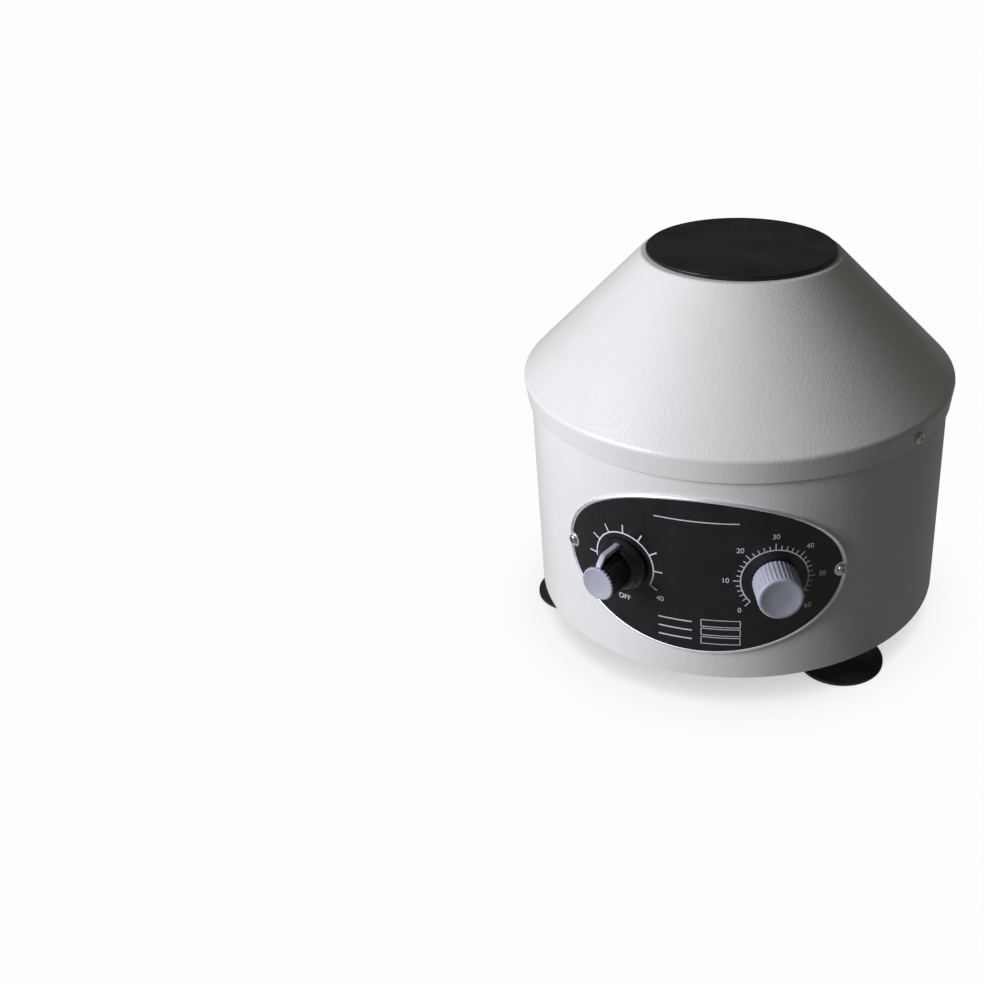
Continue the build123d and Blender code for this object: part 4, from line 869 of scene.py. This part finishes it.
@dataclass
class SpeedKnob(Knob):
    """Black fluted knob on a flared skirt, with a light cap whose pointer reaches back to the panel.

    Heights are from its foot. The web bites a little into the pointer. The pointer's root lies
    inside the cap's edge and a little under its front, and the tail runs on from there.
    """

    angle: float = -109.4
    flute_count: int = 28
    flute: tuple[float, ...] = (0.0, 0.0, 0.15, 0.34, 0.34, 0.15)
    skirt_sides: int = 96
    body_radius: float = 8.8
    body_foot: float = 5.9
    body_waist: float = 12.0
    body_top: float = 19.4
    cap_radius: float = 8.6
    cap_top: float = 20.8
    dish_radius: float = 2.0
    web_width: float = 1.8
    web_root: float = 7.6
    web_bite: float = 0.2
    web_middle: float = 10.8
    web_height: float = 10.6
    web_edge: float = 0.3
    pointer_width: float = 3.2
    pointer_reach: float = 13.2
    pointer_depth: float = 2.3
    pointer_toe: float = 3.4
    pointer_knee: float = 15.6
    pointer_root: float = 0.8
    pointer_sink: float = 1.1
    pointer_tail: tuple[float, float] = (1.6, 0.3)
    pointer_edge: float = 0.55

    def skirt(self) -> bpy.types.Object:
        """The flared foot under the flutes.

        Returns:
            The finished mesh.
        """
        rings = [(12.9, 0.0), (13.4, 0.35), (13.4, 1.1), (12.9, 1.9), (12.0, 3.0), (11.4, 4.2), (11.1, 5.2),
                 (10.8, 5.7), (10.3, 6.0), (8.0, 6.05)]
        return self.column(self.skirt_sides, rings, ())

    def grip(self) -> bpy.types.Object:
        """The fluted body that the fingers turn.

        Returns:
            The finished mesh.
        """
        r, top = self.body_radius, self.body_top
        rings = [(r, self.body_foot), (r - 0.05, self.body_waist), (r - 0.15, top - 0.2), (r - 0.3, top)]
        return self.column(self.sides(), rings, self.flute)

    def web(self) -> bpy.types.Object:
        """The thin black rib that carries the pointer.

        Returns:
            The finished mesh.
        """
        low, high = self.web_root, self.pointer_reach - self.pointer_depth + self.web_bite
        centre = (0, (low + high) / 2, self.web_middle)
        block(centre, (self.web_width, high - low, self.web_height))
        choose(Pick.EDGES, lambda middle, along: abs(along.x) < NEAR)
        bpy.ops.mesh.bevel(offset=self.web_edge, segments=2)
        return close(self.weld)

    def cap(self) -> bpy.types.Object:
        """The light disc on the front, dished a little inside a raised rim.

        Returns:
            The finished mesh.
        """
        r, top = self.cap_radius, self.cap_top
        rings = [
            (r - 0.2, self.body_top), (r, self.body_top + 0.25), (r, top - 0.45), (r - 0.15, top - 0.15),
            (r - 0.5, top), (r - 1.0, top), (r - 1.3, top - 0.12), (self.dish_radius, top - 0.3),
        ]
        return self.column(self.sides(), rings, self.flute)

    def pointer(self) -> bpy.types.Object:
        """The arm that leaves the cap's rim, bends and runs back to the skirt's edge.

        Returns:
            The finished mesh.
        """
        middle = self.pointer_reach - self.pointer_depth / 2
        length = self.pointer_knee - self.pointer_toe
        centre = (0, middle, self.pointer_toe + length / 2)
        block(centre, (self.pointer_width, self.pointer_depth, length))
        drop = middle - self.cap_radius + self.pointer_root
        climb = self.cap_top - self.pointer_sink - self.pointer_knee
        back, on = self.pointer_tail
        choose(Pick.FACES, lambda place, normal: normal.z > UPWARD)
        bpy.ops.mesh.extrude_region_move(TRANSFORM_OT_translate={"value": (0, -drop, climb)})
        bpy.ops.mesh.extrude_region_move(TRANSFORM_OT_translate={"value": (0, -back, on)})
        choose(Pick.EDGES, lambda place, along: True)
        bpy.ops.mesh.bevel(offset=self.pointer_edge, segments=3)
        return close(self.weld)

    def build(self) -> None:
        """Makes both mouldings of the knob."""
        body = self.stand([self.skirt(), self.grip(), self.web()], "speed_knob_moulding")
        self.give(body, Finishes.black_plastic, "speed_control", Slot.BLACK_KNOB, "speed_knob")
        front = self.stand([self.cap(), self.pointer()], "speed_knob_front")
        self.give(front, Finishes.light_plastic, "speed_control", Slot.LIGHT_KNOB, "speed_knob_cap")


@dataclass
class TimerKnob(Knob):
    """Light knob in one moulding, finely fluted up to a plain round front."""

    angle: float = -70.6
    flute_count: int = 34
    flute: tuple[float, ...] = (0.0, 0.0, 0.3, 0.3)
    radius: float = 11.2
    top: float = 15.5
    dish_radius: float = 3.0

    def build(self) -> None:
        """Makes the knob."""
        r, top = self.radius, self.top
        side = [(r - 0.15, 0.0), (r, 0.3), (r - 0.15, top - 1.3), (r - 0.5, top - 1.0)]
        face = [(r - 1.2, top - 1.8), (r - 0.34, top - 1.3), (r - 0.3, top - 0.75), (r - 0.45, top - 0.35),
                (r - 0.8, top - 0.08), (r - 1.3, top), (r - 2.2, top), (r - 2.5, top - 0.12),
                (self.dish_radius, top - 0.2)]
        fluted = self.column(self.sides(), side, self.flute)
        front = self.column(self.sides(), face, ())
        knob = self.stand([fluted, front], "timer_knob_moulding")
        self.give(knob, Finishes.light_plastic, "timer_control", Slot.LIGHT_KNOB, "timer_knob")


@dataclass(frozen=True)
class Dial:
    """One printed dial: an arc, lines that point at its middle, and figures round it.

    Angles are in degrees, anticlockwise from the right. The scale begins at start, and each step
    turns it clockwise. Side is -1 for the dial left of the panel's middle and 1 for the right.
    """

    side: int
    arc_radius: float
    arc_width: float
    arc_right: float
    arc_left: float
    start: float
    step: float
    line_width: float
    figure_radius: float
    type_size: float

    def turn(self, count: int) -> float:
        """Direction of one of its steps, in radians."""
        return radians(self.start - self.step * count)


@dataclass
class Panel(SubAssembly):
    """Curved panel: a bright rim round the black film, and white print on it.

    Rim and print are drawn flat in millimetres, from the panel's middle, and then wrapped.
    """

    film_radius: float = 111.2
    plate_radius: float = 111.0
    drum_radius: float = 110.0
    panel_angle: float = -90.0
    panel_height: float = 73.5
    half_width: float = 73.9
    half_height: float = 43.0
    rim_points: int = 160
    rim_width: float = 1.5
    rim_rise: float = 0.5
    rim_smooth: float = 60.0
    notch_radius: float = 3.4
    screw_inset: float = 3.05
    cut_reach: int = 72
    cut_every: int = 4
    dial_spread: float = 19.4
    speed: Dial = Dial(
        side=-1, arc_radius=16.5, arc_width=0.7, arc_right=-31.0, arc_left=185.0, start=180.0,
        step=30.0, line_width=0.7, figure_radius=24.6, type_size=4.0,
    )
    speed_lines: int = 8
    speed_line_middle: float = 18.7
    speed_line_length: float = 4.8
    speed_end_angle: float = -37.0
    off_drop: float = 19.5
    timer: Dial = Dial(
        side=1, arc_radius=16.4, arc_width=0.6, arc_right=-45.0, arc_left=225.0, start=225.0,
        step=4.5, line_width=0.5, figure_radius=23.6, type_size=3.8,
    )
    timer_minutes: int = 60
    long_line: float = 3.6
    short_line: float = 2.4
    title_height: float = 31.0
    title_length: float = 41.0
    title_width: float = 0.55
    row_count: int = 3
    row_first: float = -25.0
    row_pitch: float = 5.0
    label_middle: float = -10.5
    label_length: float = 17.0
    label_width: float = 0.7
    box_left: float = 2.5
    box_right: float = 21.5
    box_half_height: float = 1.9
    box_side: float = 4.2
    box_stroke: float = 0.4
    ink_height: float = 0.04
    arc_step: float = 3.0
    type_swell: float = 0.006
    flat: list[bpy.types.Object] = field(default_factory=list)

    def rim(self) -> bpy.types.Object:
        """The plate's rounded edge, which the film leaves bare, open at the two screws.

        Returns:
            The flat rim.
        """
        fresh_start()
        bpy.ops.mesh.primitive_circle_add(
            vertices=self.rim_points, radius=1.0, fill_type="NGON", location=(0, 0, 0)
        )
        ring = bpy.context.object
        bpy.ops.object.mode_set(mode="EDIT")
        wide = self.half_width * self.plate_radius / self.drum_radius
        bpy.ops.transform.resize(value=(wide, self.half_height, 1.0), center_override=(0, 0, 0))
        # Up steeply, up gently, flat, and down again as it rose: a bead in five steps.
        climbs = (0.75, 0.25, 0.0, -0.25, -0.75)
        for share in climbs:
            bpy.ops.mesh.inset(thickness=self.rim_width / len(climbs), depth=share * self.rim_rise)
        bpy.ops.mesh.delete(type="FACE")
        screw = wide - self.screw_inset
        choose(
            Pick.FACES,
            lambda middle, _: Vector((abs(middle.x) - screw, middle.y)).length < self.notch_radius,
        )
        bpy.ops.mesh.delete(type="FACE")
        bpy.ops.object.mode_set(mode="OBJECT")
        bpy.ops.object.shade_smooth_by_angle(angle=radians(self.rim_smooth))
        return ring

    def bar(self, x: float, y: float, length: float, width: float, angle: float) -> None:
        """Prints a straight line.

        Args:
            x: middle of the line, to the right of the panel's middle.
            y: middle of the line, above the panel's middle.
            length: its length.
            width: its width.
            angle: its direction in degrees, anticlockwise from the right.
        """
        fresh_start()
        bpy.ops.mesh.primitive_cube_add(size=1.0, location=(x, y, 0), rotation=(0, 0, radians(angle)))
        line = bpy.context.object
        line.scale = (length, width, self.ink_height)
        self.flat.append(settle(line, "print_line"))

    def arc(self, x: float, dial: Dial) -> None:
        """Prints a dial's arc, swept clockwise from its left-hand end.

        Args:
            x: the dial's middle, to the right of the panel's middle.
            dial: the dial.
        """
        fresh_start()
        a = radians(dial.arc_left)
        sweep = dial.arc_left - dial.arc_right
        place = (x + dial.arc_radius * cos(a), dial.arc_radius * sin(a), 0)
        bpy.ops.mesh.primitive_plane_add(size=1.0, location=place, rotation=(pi / 2, 0, a))
        ring = bpy.context.object
        ring.scale = (dial.arc_width, self.ink_height, 1)
        settle(ring, "print_arc")
        bpy.ops.object.mode_set(mode="EDIT")
        bpy.ops.mesh.select_all(action="SELECT")
        steps = int(sweep / self.arc_step)
        bpy.ops.mesh.spin(steps=steps, angle=radians(sweep), center=(x, 0, 0), axis=(0, 0, 1))
        bpy.ops.mesh.select_all(action="SELECT")
        bpy.ops.mesh.normals_make_consistent(inside=False)
        bpy.ops.object.mode_set(mode="OBJECT")
        self.flat.append(ring)

    def figure(self, text: str, x: float, y: float, size: float) -> None:
        """Prints a number or a short word.

        Args:
            text: what is printed.
            x: its middle, to the right of the panel's middle.
            y: its middle, above the panel's middle.
            size: the height of a line of type.
        """
        fresh_start()
        bpy.ops.object.text_add(location=(x, y, 0))
        word = bpy.context.object
        word.data.body = text
        word.data.size = size
        word.data.align_x = "CENTER"
        word.data.align_y = "CENTER"
        word.data.extrude = self.ink_height / 2
        word.data.offset = self.type_swell * size
        bpy.ops.object.convert(target="MESH")
        self.flat.append(settle(bpy.context.object, "print_figure"))

    def centre(self, dial: Dial) -> float:
        """How far right of the panel's middle a dial's middle is."""
        return dial.side * radians(self.dial_spread) * self.film_radius

    def ray(self, dial: Dial, turn: float, middle: float, length: float) -> None:
        """Prints a line that points at a dial's middle.

        Args:
            dial: the dial.
            turn: the line's direction from there, in radians.
            middle: how far from there its own middle is.
            length: its length.
        """
        x = self.centre(dial) + middle * cos(turn)
        self.bar(x, middle * sin(turn), length, dial.line_width, degrees(turn))

    def mark(self, dial: Dial, text: str, turn: float) -> None:
        """Prints a figure outside a dial's lines.

        Args:
            dial: the dial.
            text: what is printed.
            turn: its direction from the dial's middle, in radians.
        """
        x = self.centre(dial) + dial.figure_radius * cos(turn)
        self.figure(text, x, dial.figure_radius * sin(turn), dial.type_size)

    def speed_dial(self) -> None:
        """Prints the speed control's arc, its lines and its end marks."""
        dial = self.speed
        self.arc(self.centre(dial), dial)
        for k in range(self.speed_lines):
            self.ray(dial, dial.turn(k), self.speed_line_middle, self.speed_line_length)
        self.mark(dial, "40", radians(self.speed_end_angle))
        self.figure("OFF", self.centre(dial), -self.off_drop, dial.type_size)

    def timer_dial(self) -> None:
        """Prints the timer's arc, a line for every second minute and a number for every tenth."""
        dial = self.timer
        self.arc(self.centre(dial), dial)
        for minute in range(0, self.timer_minutes + 1, 2):
            reach = self.long_line if minute % 10 == 0 else self.short_line
            self.ray(dial, dial.turn(minute), dial.arc_radius + reach / 2, reach)
        for minute in range(0, self.timer_minutes + 1, 10):
            self.mark(dial, str(minute), dial.turn(minute))

    def plain_fields(self) -> None:
        """Prints the rule of the bare title, and three empty boxes with a plain line before each."""
        self.bar(0, self.title_height, self.title_length, self.title_width, 0)
        middle, width = (self.box_left + self.box_right) / 2, self.box_right - self.box_left
        for row in range(self.row_count):
            y = self.row_first - self.row_pitch * row
            self.bar(self.label_middle, y, self.label_length, self.label_width, 0)
            for edge in (-self.box_half_height, self.box_half_height):
                self.bar(middle, y + edge, width, self.box_stroke, 0)
            for end in (self.box_left, self.box_right):
                self.bar(end, y, self.box_stroke, self.box_side, 0)

    def wrap(self, pieces: list[bpy.types.Object], name: str, radius: float) -> bpy.types.Object:
        """Joins flat pieces and bends them round the drum.

        Args:
            pieces: the flat pieces.
            name: the joined piece's name.
            radius: of the cylinder that the flat plane becomes.

        Returns:
            The joined piece in its place.
        """
        sheet = settle(join(pieces), name)
        bpy.ops.object.mode_set(mode="EDIT")
        for cut in range(-self.cut_reach, self.cut_reach + 1, self.cut_every):
            bpy.ops.mesh.select_all(action="SELECT")
            bpy.ops.mesh.bisect(plane_co=(cut, 0, 0), plane_no=(1, 0, 0))
        bpy.ops.object.mode_set(mode="OBJECT")
        middle = radians(self.panel_angle)
        for vertex in sheet.data.vertices:
            x, y, z = vertex.co
            turn, reach = middle + x / radius, radius + z
            vertex.co = Vector((reach * cos(turn), reach * sin(turn), self.panel_height + y)) * MM
        sheet.data.update()
        return sheet

    def build(self) -> None:
        """Dresses the panel and lays its rim and print on it."""
        self.dress_nodes({
            "faceplate": Finishes.trim,
            "faceplate_overlay": Finishes.film,
            "faceplate_screws": Finishes.zinc,
        })
        rim = self.wrap([self.rim()], "panel_rim", self.plate_radius)
        self.give(rim, Finishes.trim, "housing", Slot.FACEPLATE_METAL)
        self.speed_dial()
        self.timer_dial()
        self.plain_fields()
        ink = self.wrap(self.flat, "panel_print", self.film_radius + self.ink_height / 2)
        self.give(ink, Finishes.ink, "housing", Slot.OVERLAY_FILM)


class Backdrop(Enum):
    """Tones of the studio."""

    PAPER = "FDFDFD"
    ROOM = "5A5855"
    LAMP = "F6F6FF"


@dataclass
class Studio:
    """Camera at the photograph's place, a pale floor, a large soft lamp and a weak one below."""

    sensor: float = 36.0
    focal_px: float = 1195.7
    frame_px: float = 984.0
    middle_px: tuple[float, float] = (739.4, 415.7)
    distance: float = 648.6
    azimuth: float = 10.1
    elevation: float = 25.93
    roll: float = 0.83
    aim_height: float = 106.0
    lamp_azimuth: float = -52.0
    lamp_elevation: float = 28.0
    lamp_distance: float = 1600.0
    lamp_size: float = 800.0
    lamp_watts: float = 31.6
    lamp_aim: float = 100.0
    fill_place: tuple[float, float, float] = (-100.0, -100.0, -900.0)
    fill_size: float = 500.0
    fill_watts: float = 4.0
    floor_size: float = 12000.0
    floor_drop: float = 0.2
    # Strength of the floor's painted reflection: the white glow that reflections see in it.
    floor_glow: float = 0.22
    # Painted contact shadow: the floor's white glow darkens to the painted shadow tone where it sees no
    # sky within reach, and stays white where it sees more than the painted shadow share of it.
    contact_reach: float = 60.0
    contact_tone: float = 0.5
    contact_share: float = 0.75

    def towards(self, azimuth: float, elevation: float) -> Vector:
        """Direction from the machine to a viewer or a lamp.

        Args:
            azimuth: degrees from the front, anticlockwise seen from above.
            elevation: degrees above the floor.

        Returns:
            The direction, of length 1.
        """
        a, e = radians(azimuth), radians(elevation)
        return Vector((sin(a) * cos(e), -cos(a) * cos(e), sin(e)))

    def camera(self) -> None:
        """Places the camera that took the photograph."""
        data = bpy.data.cameras.new("camera")
        data.sensor_width = self.sensor
        data.lens = self.focal_px / self.frame_px * data.sensor_width
        data.shift_x = 0.5 - self.middle_px[0] / self.frame_px
        data.shift_y = self.middle_px[1] / self.frame_px - 0.5
        camera = bpy.data.objects.new("camera", data)
        bpy.context.scene.collection.objects.link(camera)
        back = self.towards(self.azimuth, self.elevation)
        turn = (-back).to_track_quat("-Z", "Y").to_matrix().to_4x4()
        place = Matrix.Translation(Vector((0, 0, self.aim_height * MM)) + back * self.distance * MM)
        camera.matrix_world = place @ turn @ Matrix.Rotation(radians(self.roll), 4, "Z")
        bpy.context.scene.camera = camera

    def lamp(self, name: str, place: Vector, size: float, power: float) -> None:
        """Hangs a soft square lamp that looks at the machine.

        Args:
            name: the lamp's name.
            place: where it hangs, in millimetres.
            size: the side of its face, in millimetres.
            power: its power in watts.
        """
        data = bpy.data.lights.new(name, "AREA")
        data.size = size * MM
        data.energy = power
        data.color = linear(Backdrop.LAMP.value)[:3]
        lamp = bpy.data.objects.new(name, data)
        bpy.context.scene.collection.objects.link(lamp)
        lamp.location = place * MM
        aim = Vector((0, 0, self.lamp_aim)) - place
        lamp.rotation_euler = aim.to_track_quat("-Z", "Y").to_euler()

    def floor(self) -> None:
        """Lays the pale floor, which is clear from below so that the base can be seen and lit.

        Its soft contact shadow is painted: the paper that the camera sees glows less where it sees little of
        the sky.
        """
        fresh_start()
        bpy.ops.mesh.primitive_plane_add(size=self.floor_size * MM, location=(0, 0, -self.floor_drop * MM))
        floor = settle(bpy.context.object, "floor")
        material = bpy.data.materials.new("white_paper_floor")
        material.use_nodes = True
        tree = material.node_tree
        shader = tree.nodes["Principled BSDF"]
        shader.inputs["Base Color"].default_value = linear(Backdrop.ROOM.value)
        shader.inputs["Roughness"].default_value = 0.9
        ray = add_node(tree, "ShaderNodeLightPath", {}, {})
        side = add_node(tree, "ShaderNodeNewGeometry", {}, {})
        # Painted contact shadow: how much sky each point sees within reach sets how brightly its paper
        # glows.
        sky = add_node(
            tree, "ShaderNodeAmbientOcclusion", {"samples": 12, "Distance": self.contact_reach * MM}, {}
        )
        tone = add_node(
            tree, "ShaderNodeMapRange", {"From Max": self.contact_share, "To Min": self.contact_tone},
            {"Value": sky.outputs["AO"]},
        )
        white = linear(Backdrop.PAPER.value)
        paper = add_node(tree, "ShaderNodeEmission", {"Color": white}, {"Strength": tone.outputs["Result"]})
        # Painted reflection: glossy rays see the floor as a white glow, though it is no lamp, while other
        # light sees the dim room's grey.
        painted_glow = add_node(tree, "ShaderNodeEmission", {"Color": white, "Strength": self.floor_glow}, {})
        mirrored = add_node(
            tree, "ShaderNodeMixShader", {},
            {0: ray.outputs["Is Glossy Ray"], 1: shader.outputs["BSDF"], 2: painted_glow.outputs["Emission"]},
        )
        seen = add_node(
            tree, "ShaderNodeMixShader", {},
            {0: ray.outputs["Is Camera Ray"], 1: mirrored.outputs["Shader"], 2: paper.outputs["Emission"]},
        )
        clear = add_node(tree, "ShaderNodeBsdfTransparent", {}, {})
        through = add_node(
            tree, "ShaderNodeMath", {"operation": "MAXIMUM"},
            {0: side.outputs["Backfacing"], 1: ray.outputs["Is Shadow Ray"]},
        )
        both = add_node(
            tree, "ShaderNodeMixShader", {},
            {0: through.outputs["Value"], 1: seen.outputs["Shader"], 2: clear.outputs["BSDF"]},
        )
        tree.links.new(both.outputs["Shader"], tree.nodes["Material Output"].inputs["Surface"])
        floor.data.materials.append(material)

    def light(self) -> None:
        """Sets the lamps and the dim room round them, which the camera sees as white paper."""
        window = self.towards(self.lamp_azimuth, self.lamp_elevation) * self.lamp_distance
        self.lamp("window", window, self.lamp_size, self.lamp_watts)
        self.lamp("under_fill", Vector(self.fill_place), self.fill_size, self.fill_watts)
        world = bpy.data.worlds.new("room")
        world.use_nodes = True
        tree = world.node_tree
        paper = tree.nodes["Background"]
        paper.inputs["Color"].default_value = linear(Backdrop.PAPER.value)
        paper.inputs["Strength"].default_value = 1.0
        tones = {"Color": linear(Backdrop.ROOM.value), "Strength": 1.0}
        dim = add_node(tree, "ShaderNodeBackground", tones, {})
        ray = add_node(tree, "ShaderNodeLightPath", {}, {})
        both = add_node(
            tree, "ShaderNodeMixShader", {},
            {0: ray.outputs["Is Camera Ray"], 1: dim.outputs["Background"], 2: paper.outputs["Background"]},
        )
        tree.links.new(both.outputs["Shader"], tree.nodes["World Output"].inputs["Surface"])
        bpy.context.scene.world = world
        bpy.context.scene.view_settings.view_transform = "Standard"

    def build(self) -> None:
        """Makes the camera, the floor and the light."""
        self.camera()
        self.floor()
        self.light()
        log.info("studio ready")


def main() -> None:
    """Builds the studio and the sub-assemblies in order, and logs each one as it is done."""
    logging.basicConfig(level=logging.INFO, format="%(name)s: %(message)s")
    Studio().build()
    dresser = Dresser()
    for group in (Housing, Cover, Feet, Lid, Rotor, Motor, Controls, Panel, SpeedKnob, TimerKnob):
        group(dresser).build()
        log.info("%s done", group.__name__)


if __name__ == "__main__":
    main()
